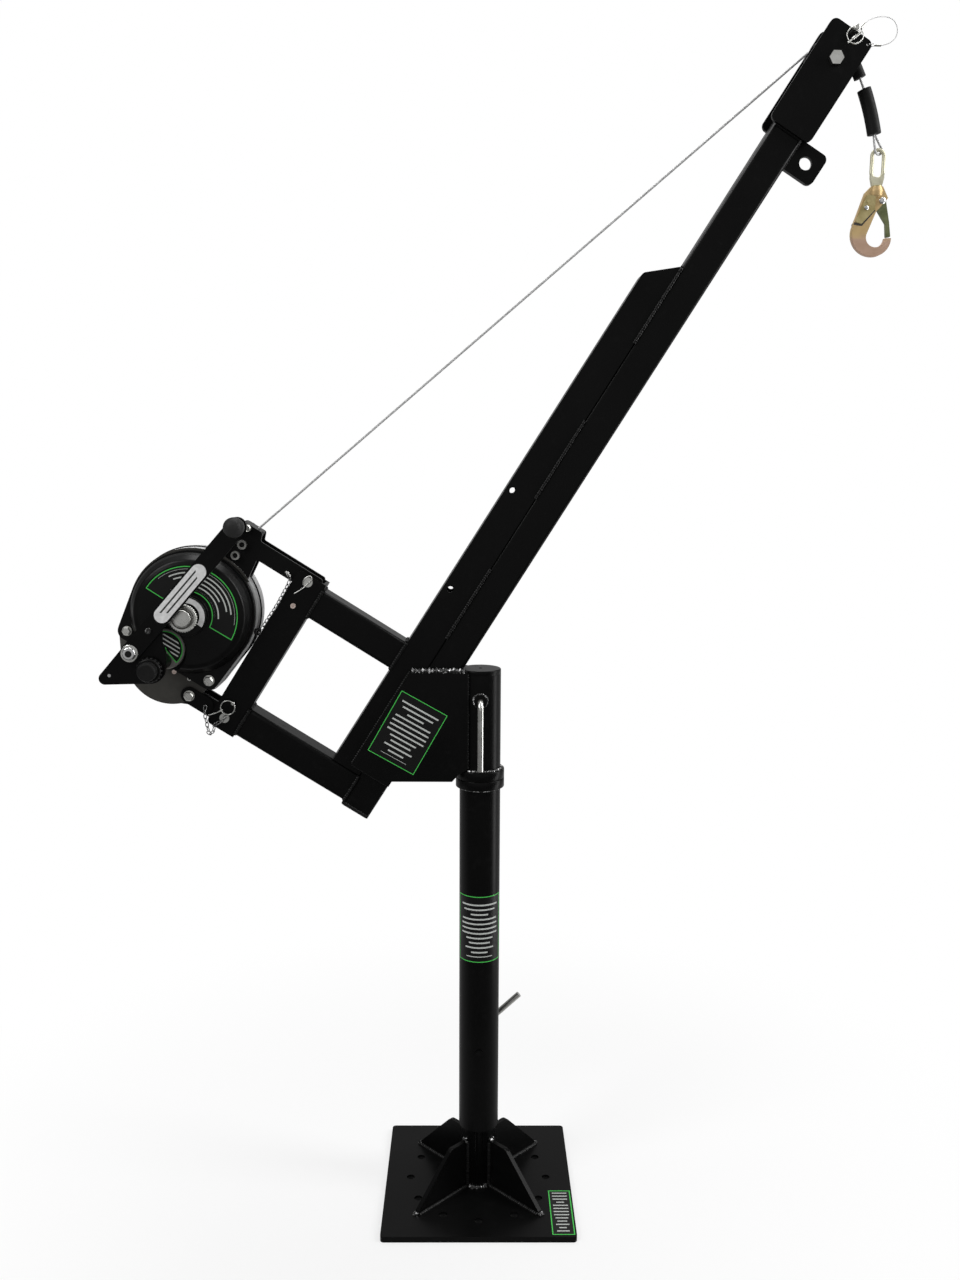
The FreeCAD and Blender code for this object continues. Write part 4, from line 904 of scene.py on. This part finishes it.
def on_face(rows, along, out, front, turn=0.0):
    """Rows of a plate as pairs of points on a front face of the boom, turned about their middle."""
    c, s = math.cos(math.radians(turn)), math.sin(math.radians(turn))
    return [[on_boom(along + x * c - y * s, out + x * s + y * c, front) for x, y in pair] for pair in rows]


print("plate helpers ready")

# %% [markdown]
# A film is printed: a thin line runs a little inside its edge, and plain bars fill its middle. The shader reads
# how far a place is from the film's edge, how far across it is and how far down, all in millimetres. From those
# three it draws line and bars. White noise by row number makes the bars uneven, and it is the same every time.

# %% Printed films
FILM_BLACK = (0.004, 0.004, 0.004, 1)
FILM_GREEN = (0.06, 0.52, 0.08, 1)
FILM_PALE = (0.48, 0.50, 0.48, 1)
LINE_INSET = 0.4
BAR_SHARE = 0.32
BAR_SHORT, BAR_LONG = 0.3, 0.85


def turned(x, y, angle):
    """Two wires as coordinates in directions turned by an angle in degrees."""
    c, s = math.cos(math.radians(angle)), math.sin(math.radians(angle))
    return x * c + y * s, y * c - x * s


def boom_place(wire, middle=(0, 0)):
    """Millimetres along and out from a place on the boom, at the shaded place."""
    spot = wire.here()
    return [wire.vector("DOT_PRODUCT", spot, way, out="Value") / MM - BOOM_HEIGHT * way.z - start
            for way, start in zip((ALONG, OUT), middle)]


def box_measure(x, y, length, width):
    """Distance from a rectangle's edge, share of the way across and place down it."""
    return x.maths("MINIMUM", length / 2 - abs(x), width / 2 - abs(y)), abs(y) / (width / 2), x


def ring_measure(x, y, inner, outer, low, high):
    """The same three for a sector of a ring: its rows are arcs."""
    radius = x.maths("SQRT", x * x + y * y)
    turn = abs(y.maths("ARCTAN2", y, x) - math.radians(low + high) / 2)
    half = math.radians(high - low) / 2
    rims = x.maths("MINIMUM", radius - inner, outer - radius)
    return x.maths("MINIMUM", rims, (half - turn) * radius), turn / half, radius


def printed(name, pairs, measure, pitch, line, margin, body="boom", facings=FRONT):
    """A black film with a green line and pale bars, drawn from a function of the shaded place."""
    material, wire = new_finish(name, {"Specular IOR Level": 0.25})
    inset, across, down = measure(wire)
    row = wire.maths("FLOOR", down / pitch)
    reach = wire.add("ShaderNodeTexWhiteNoise", {"noise_dimensions": "1D"}, {"W": row + 0.5})
    bar = (down / pitch - row < BAR_SHARE) * (across < BAR_SHORT + (BAR_LONG - BAR_SHORT) * reach) * (inset > margin)
    border = (inset > LINE_INSET) * (inset < line)
    feed(material, Base_Color=border.mix(bar.mix(FILM_BLACK, FILM_PALE), FILM_GREEN),
         Roughness=0.3 + 0.2 * noise(wire, 60.0))
    thin_plate(name, pairs, material, body, facings)


print("film helpers ready")

# %% Films of the knee, the post and the base plate
FILM_CORNER = (2.0, 3)
FILM_PITCH = 10.5
KNEE_FILM = (-238.4, 26.9)
KNEE_SIZE = (145.0, 108.4)
KNEE_TURN = 2.6
KNEE_FACE = 41.25
POST_FILM = 610.5
POST_RADIUS = 42.85
POST_SIZE = (147.0, 108.4)
BASE_FILM = (176.0, -123.0)
BASE_SIZE = (148.0, 48.0)


def knee_measure(wire):
    return box_measure(*turned(*boom_place(wire, KNEE_FILM), KNEE_TURN), *KNEE_SIZE)


def post_measure(wire):
    spot = wire.here()
    turn = wire.maths("ARCTAN2", spot.axis("X"), 0 - spot.axis("Y"))
    return box_measure(place_of(wire, "Z") - POST_FILM, turn * POST_RADIUS, *POST_SIZE)


def base_measure(wire):
    return box_measure(place_of(wire, "Y") - BASE_FILM[1], place_of(wire, "X") - BASE_FILM[0], *BASE_SIZE)


pairs = on_face(rounded_rows(*KNEE_SIZE, *FILM_CORNER), *KNEE_FILM, KNEE_FACE, KNEE_TURN)
printed("knee_film", pairs, knee_measure, FILM_PITCH, 1.9, 12.0)
turns = [POST_SIZE[1] / POST_RADIUS * (i / 32 - 0.5) for i in range(33)]
ways = [Vector((math.sin(a), -math.cos(a), 0)) for a in turns]
pairs = [[(way * POST_RADIUS + UP * (POST_FILM + side)) * MM for side in (-POST_SIZE[0] / 2, POST_SIZE[0] / 2)]
         for way in ways]
printed("post_film", pairs, post_measure, FILM_PITCH, 2.2, 12.0, "mast", ways)
pairs = [[at(BASE_FILM[0] + x, BASE_FILM[1] + y, PLATE_TOP) for x, y in pair]
         for pair in rounded_rows(BASE_SIZE[1], BASE_SIZE[0], *FILM_CORNER)]
printed("base_film", pairs, base_measure, FILM_PITCH, 2.6, 8.0, "mast", UP)

# %% [markdown]
# The winch has a half ring of film on its cover, a smaller sector on the gear case, a pale arc beside the dial
# and a pale strip on the crank's arm. The strip rides on the folding arm, and the others stay with the boom.

# %% Films and strips of the winch
COVER_FACE = 72.0
BOSS_FACE = 90.0
GEAR = (-351, 535)
GEAR_FACE = 48.0
ARM_PIVOT = (-366, 574)
ARM_TURN = -9.0
ARM_FACE = 150.65
STRIP_SIZE = (142.0, 30.0)
STRIP_MIDDLE = 155.0
BAR_OUT, BAR_HALF, BAR_REACH, BAR_SLANT = 5.0, 1.6, 50, 0.8
COVER_RING = (47.0, 99.0, -89.0, 89.0)
GEAR_RING = (2.0, 37.0, -110.0, 150.0)
GEAR_PRINT = (2.0, 37.0, -110.0, 260.0)
GEAR_BARS = 0.3
DIAL_ARC = (26.5, 37.0, -94.0, 40.0)
DIAL_FACE = 127.0
# Radii and angles of the dark ring of painted groove shade on the dial's face.
DIAL_GROOVE_SHADE = (17.5, 20.5, -179.0, 179.0)


def cover_measure(wire):
    return ring_measure(*boom_place(wire, DRUM), *COVER_RING)


def gear_measure(wire):
    """The sector's border, but with straight rows across it."""
    x, y = boom_place(wire, GEAR)
    inset, across, _ = ring_measure(x, y, *GEAR_PRINT)
    return inset, across * GEAR_BARS, x


printed("cover_film", on_face(ring_rows(*COVER_RING), *DRUM, COVER_FACE), cover_measure, 8.4, 2.2, 6.0)
printed("gear_film", on_face(ring_rows(*GEAR_RING), *GEAR, GEAR_FACE), gear_measure, 8.0, 1.8, 6.0)
pale_plate, wire = new_finish("pale_plate", {"Specular IOR Level": 0.3})
scuffs = noise(wire, 90.0, 4.0)
feed(pale_plate, Base_Color=scuffs.ease(0.3, 0.7).mix(grey(0.50), grey(0.62)), Roughness=0.3 + 0.25 * scuffs)
thin_plate("dial_arc", on_face(ring_rows(*DIAL_ARC), *DRUM, BOSS_FACE), pale_plate)
# Painted shade: a flat dark ring on the dial's face stands for the shade in a groove; the face has no recess there.
thin_plate("dial_groove_shade", on_face(ring_rows(*DIAL_GROOVE_SHADE), *DRUM, DIAL_FACE), gear_grey)
turn = math.radians(ARM_TURN)
middle = (ARM_PIVOT[0] + STRIP_MIDDLE * math.cos(turn), ARM_PIVOT[1] + STRIP_MIDDLE * math.sin(turn))
strip, wire = new_finish("arm_strip", {"Specular IOR Level": 0.3})
x, y = turned(*boom_place(wire, middle), ARM_TURN)
wear = noise(wire, 120.0, 4.0)
bars = (abs(abs(y) - BAR_OUT) < BAR_HALF) * (abs(x) < BAR_REACH + BAR_SLANT * y)
feed(strip, Base_Color=bars.mix(wear.ease(0.3, 0.7).mix(grey(0.56), grey(0.68)), grey(0.03)),
     Roughness=0.35 + 0.2 * wear)
pairs = on_face(rounded_rows(*STRIP_SIZE, STRIP_SIZE[1] / 2), *middle, ARM_FACE, ARM_TURN)
thin_plate("arm_strip", pairs, strip, "handle")

# %% [markdown]
# The lower arm ends in a rounded plate that is bolted over the gear case, and a rounded web joins the housing's
# left ear to its lobe. A broad web fills the crank's corner between its hub and its arm. The same helper makes
# all three, thicker. The hub's cap and the pivot's washer are turned from a profile of radii and heights.

# %% Webs, hub cap and pivot washer
WEB = ((80.0, 30.0), (-392.4, 612.4, 0, 34.2))
ARM_END = ((72.0, 34.0), (-413, 428, 26, 90.0))
CRANK_FRONT = 144.0
CRANK_WEB = [(-291.6, 549.5, -288.2, 546.4), (-303.4, 551.3, -297.2, 543.8), (-328.3, 555.7, -316.4, 532.5),
             (-339.5, 557.9, -322.3, 525.0), (-347.6, 556.6, -326.1, 519.8), (-364.4, 552.1, -338.4, 511.0),
             (-380.4, 537.9, -352.0, 504.2)]
HUB_CAP = [(18.5, 159.6), (18.5, 172.0), (18.0, 175.0), (16.6, 177.2), (14.5, 178.2), (6.0, 178.6)]
PIVOT_WASHER = [(12.5, 150.75), (16.8, 150.75), (16.8, 152.0), (16.0, 152.6), (12.5, 152.6)]
for name, (size, place), finish, slot_name, lift, sink in (
        ("housing_web", WEB, gear_grey, "gear_grey", 4.0, 49.5),
        ("lower_arm_end", ARM_END, coat, "black_coat", 3.0, 1.2)):
    pairs = on_face(rounded_rows(*size, size[1] / 2), *place)
    thin_plate(name, pairs, finish, lift=lift, sink=sink)
pairs = [(on_boom(s, t, CRANK_FRONT), on_boom(u, v, CRANK_FRONT)) for s, t, u, v in CRANK_WEB]
thin_plate("crank_web", pairs, coat, "crank", lift=-0.1, sink=7.6)


def turned_rings(profile, middle, count=48):
    """Rings of points about an axis that faces the front, from pairs of radius and height."""
    return [hoop(*middle, height, radius, count)[:-1] for radius, height in profile]


ringed("hub_cap", turned_rings(HUB_CAP, HUB), rubber, "crank")
ringed("pivot_washer", turned_rings(PIVOT_WASHER, ARM_PIVOT), zinc, "crank")

# %% [markdown]
# The housing's back is out of sight. A casting of this size has a rim, ribs and a bearing boss there, so plain ones
# are swept along circles and spokes.

# %% Back of the housing
RIB_RINGS = (30.0, 88.0)
ribs = [hoop(*DRUM, HOUSING_BACK, radius, 60) for radius in RIB_RINGS]
ribs += [[on_boom(DRUM[0] + r * math.cos(a), DRUM[1] + r * math.sin(a), HOUSING_BACK) for r in RIB_RINGS]
         for a in (TURN * (i + 0.5) / 6 for i in range(6))]
sweep("housing_ribs", ribs, 8, casting)
sit("bearing_nut", hex_tree, [(on_boom(*DRUM, HOUSING_BACK), -FRONT, 26)], zinc)

# %% [markdown]
# Spring clips, split rings and chains keep the winch's two mount pins with the frame. The clips and rings are
# bent wire, so the weld tree sweeps them with its ripples turned off, and so is the gasket's lip. A chain is the
# same link again and again, each a quarter turn round from the one before.

# %% Clips, rings and chains
GASKET_RADIUS = 131.4
GASKET_FRONT = -6.0


def bent(places, step=6):
    """A smooth run of points through places on the boom."""
    spots = [on_boom(*place) for place in places]
    spots = [2 * spots[0] - spots[1]] + spots + [2 * spots[-1] - spots[-2]]
    run = []
    for p0, p1, p2, p3 in zip(spots, spots[1:], spots[2:], spots[3:]):
        for i in range(step):
            t = i / step
            run.append(0.5 * (2 * p1 + (p2 - p0) * t + (2 * p0 - 5 * p1 + 4 * p2 - p3) * t ** 2
                              + (3 * p1 - p0 - 3 * p2 + p3) * t ** 3))
    return run + [spots[-2]]


clip = [(-116, 372, 41), (-103, 365.5, 42), (-93, 361.5, 43), (-80, 357.5, 43), (-71, 357, 43), (-68, 362, 43),
        (-73, 367.5, 43), (-82, 369.5, 43), (-90, 366, 43)]
tail = [(-424.4, 391.6, 40), (-412, 381, 42), (-398.2, 372, 42)]
sweep("pin_clips", [bent(clip), hoop(-389.6, 365.9, 42, 14.5), bent(tail)], 2.6, zinc)
chain_tree, w = new_tree("chain", {"Pitch": 8.5 * MM, "Wire": 1.0 * MM, "Slimness": 0.62})
line = followed(w, w["Pitch"])
oval = line.geo("CurvePrimitiveCircle", {"Resolution": 12, "Radius": w["Pitch"] * 0.66})
shape = line.add("ShaderNodeCombineXYZ", None, {"X": 1.0, "Y": w["Slimness"], "Z": 1.0})
link = tube(line.geo("Transform", {"Geometry": oval, "Scale": shape}), 5, w["Wire"])
tangent = line.geo("InputTangent")
facing = line.add("FunctionNodeAlignRotationToVector", {"axis": "X"}, {"Vector": tangent})
number = line.geo("InputIndex")
quarter = number.maths("MODULO", number, 2.0) * (TURN / 4) + TURN / 8
twist = line.add("FunctionNodeAxisAngleToRotation", None, {"Axis": (1, 0, 0), "Angle": quarter})
facing = line.add("FunctionNodeRotateRotation", {"rotation_space": "LOCAL"}, {"Rotation": facing, "Rotate By": twist})
close_tree(chain_tree, w, line.geo("InstanceOnPoints", {"Points": line, "Instance": link, "Rotation": facing}))
upper_chain = [(-89.6, 402.9, 36), (-98.6, 393.7, 36.5), (-130.6, 391, 36.5), (-160.3, 389.8, 36.5),
               (-191.7, 391, 36.5), (-220.3, 390.5, 36.5)]
lower_chain = [(-416.2, 405.2, 36), (-427, 399, 38), (-436, 391, 38), (-449, 379, 38), (-458, 368.5, 38),
               (-446, 367, 39), (-433, 370, 40), (-423, 363, 41), (-411, 361, 41)]
chains = line_seed([bent(upper_chain), bent(lower_chain)])
grow("pin_chains", chain_tree, chains, chain_steel)
anchor = [[on_boom(-88, 410, 35), on_boom(-90, 397, 35)], hoop(-376.1, 361.2, 43, 2.0, 12)]
sweep("chain_anchor", anchor, 5, zinc)
sweep("gasket_lip", [hoop(*DRUM, GASKET_FRONT, GASKET_RADIUS, 90)], 4.4, rubber)
sweep("chain_tie", [hoop(-222.9, 394.5, 36.5, 6.0)], 4, rubber)

# %% [markdown]
# Small bright fittings are left: the keeper pin's shank and the ferrule on its wire, the copper-coloured screws,
# the hook's domed rivets and the crank's stop. Dark hex discs in the pivot and the screws are painted shade in their
# sockets, and a dark strip along the edge of the hook's lever is painted shade that sets it off from the body.

# %% Small fittings
SHANK = [at(677.4, -69.5, 2361.3), at(688, -70, 2369.6)]
FERRULES = [[at(686, -70, 2368), at(701, -70.5, 2380)], [at(699.0, -73, 2386.0), at(706.5, -72, 2394.5)]]
# Corners of the strip of painted shade along the lever's edge, as x and z pairs.
LEVER_SHADE_STRIP = [(766.6, 2075.5, 765.2, 2076.8), (741.4, 2046.5, 740.0, 2050.0), (724.8, 2048.8, 726.4, 2053.6)]


def rivet_head(start):
    dome = start.geo("MeshUVSphere", {"Segments": 20, "Rings": 10, "Radius": 0.5})
    return start.geo("Transform", {"Geometry": dome, "Scale": (1, 1, 0.5)})


# A flat hex disc with a thin ring round it. In dark rubber it is painted shade in a socket; the crank's stop is the
# same shape in chrome.
def hex_pit(start):
    return stack(start, (cylinder(start, 24, 0.66, 0.02), 0.01), (cylinder(start, 6, 0.5, 0.04), 0.02))


rivet_tree = fastener_tree("rivets", rivet_head)
pit_tree = fastener_tree("hex_pits", hex_pit)
sweep("keeper_shank", [SHANK], 2.6, zinc)
sweep("keeper_ferrule", FERRULES, 5.4, zinc)
rows = [(on_boom(-386.9, 497.2, 26), FRONT, 9), (on_boom(-139.4, 361.4, TUBE_FACE), FRONT, 10.5)]
sit("copper_screws", socket_tree, rows, copper)
sit("arm_screw", socket_tree, [(on_boom(-307.7, 564.8, ARM_FACE), FRONT, 11)], weld_coat, "handle")
rows = [(at(747.6, -11.2, 2080.1), FRONT, 9), (at(778.5, -8.6, 2094.0), FRONT, 13),
        (at(778.5, 8.6, 2094.0), -FRONT, 13)]
sit("hook_rivets", rivet_tree, rows, chrome, "hook")
# Painted shade: thin dark strips along the lever's edge, front and back, stand for the shade where the lever steps
# down to the body.
for name, front, facing in (("lever_shade_front", 7.0, FRONT), ("lever_shade_back", -7.0, -FRONT)):
    pairs = [(at(x, -front, z), at(u, -front, v)) for x, z, u, v in LEVER_SHADE_STRIP]
    thin_plate(name, pairs, gear_grey, "hook", facing)
# Painted shade: dark rubber discs on the pivot's head and at the floor of the screws' sockets stand for the shade in
# the sockets.
sit("pivot_socket_shade", pit_tree, [(on_boom(*ARM_PIVOT, 159.65), FRONT, 10)], rubber, "crank")
rows = [(on_boom(s, t, z + 0.2 * size), FRONT, 0.52 * size) for s, t, z, size in FRONT_SOCKETS]
sit("screw_socket_shades", pit_tree, rows, rubber)
sit("crank_stop", pit_tree, [(on_boom(-427.1, 586.7, 143.85), FRONT, 7)], chrome, "crank")

# %% [markdown]
# Below its end sleeve the rope opens into a loop that holds the hook's link. It is the same rope, so the strand
# tree makes it again along a drop-shaped line, turned to pass through the link.

# %% Rope eye
LINK_X = 767.988
EYE_LOW = 2180.8
EYE_RADIUS = 11.0
EYE_TURN = math.radians(36)
ROPE_HALF = 1.6
eye_way = Vector((math.cos(EYE_TURN), math.sin(EYE_TURN), 0))
eye_centre = at(LINK_X, 0, EYE_LOW + EYE_RADIUS)
eye_top = swing(hang_centre, HANG_RADIUS, [sleeve_end])[0]
lean = Vector((eye_top.x - eye_centre.x, 0, 0))
height = eye_top.z - eye_centre.z
start_turn = math.acos(EYE_RADIUS * MM / height)
drop = [(-math.sin(a) * EYE_RADIUS * MM, math.cos(a) * EYE_RADIUS * MM)
        for a in (start_turn + (TURN - 2 * start_turn) * i / 24 for i in range(25))]
drop = [(-ROPE_HALF * MM, height), *drop, (ROPE_HALF * MM, height)]
eye_line = [eye_centre + eye_way * x + UP * z + lean * max(0.0, z / height) for x, z in drop]
eye = grow("rope_eye_strands", strand_tree, line_seed([eye_line]), rope_steel)
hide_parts("rope_eye")

# %% [markdown]
# The hook hangs in a forged link: a bar bent into a long loop, with a flat foot and a turned swivel neck under it.
# The sweep of the weld tree makes the loop from a smooth line, and the foot is a thick plate. The three stand in
# for the CAD node, whose slot is shorter.

# %% Link
LINK_BAR = 7.2
LINK_SPAN = (2132.0, 2193.0)
LINK_WIDTH = 30.0
FOOT_HALF = 4.5
FOOT_LOW = 2121.4
FOOT_ROWS = [(-13.0, 2137.0, 2146.0), (-9.5, FOOT_LOW, 2140.0), (0.0, FOOT_LOW, 2137.5), (9.5, FOOT_LOW, 2140.0),
             (13.0, 2137.0, 2146.0)]
NECK_LOW = 2108.5
NECK_WIDTH = 21
bend = (LINK_WIDTH - LINK_BAR) / 2
low_turn, high_turn = LINK_SPAN[0] + LINK_BAR / 2 + bend, LINK_SPAN[1] - LINK_BAR / 2 - bend
loop = [at(LINK_X + bend * math.cos(a), 0, (high_turn if a <= TURN / 2 else low_turn) + bend * math.sin(a))
        for a in (TURN * (i + 0.5) / 48 for i in range(48))]
link_loop = sweep("link_loop", [loop + loop[:1]], LINK_BAR, link_zinc)
pairs = [(at(LINK_X + x, 0, lower), at(LINK_X + x, 0, upper)) for x, lower, upper in FOOT_ROWS]
thin_plate("link_foot", pairs, link_zinc, lift=FOOT_HALF, sink=FOOT_HALF)


def turned_neck(start):
    return stack(start, (cylinder(start, 24, 0.5, 0.2), 0.1), (cylinder(start, 24, 0.36, 0.24), 0.32),
                 (cylinder(start, 24, 0.46, 0.24), 0.54))


sit("link_neck", fastener_tree("link_necks", turned_neck), [(at(LINK_X, 0, NECK_LOW), UP, NECK_WIDTH)], gold)
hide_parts("swivel_link")

# %% [markdown]
# The view layer is brought up to date once more before the frame is closed.

# %% Last update
bpy.context.view_layer.update()
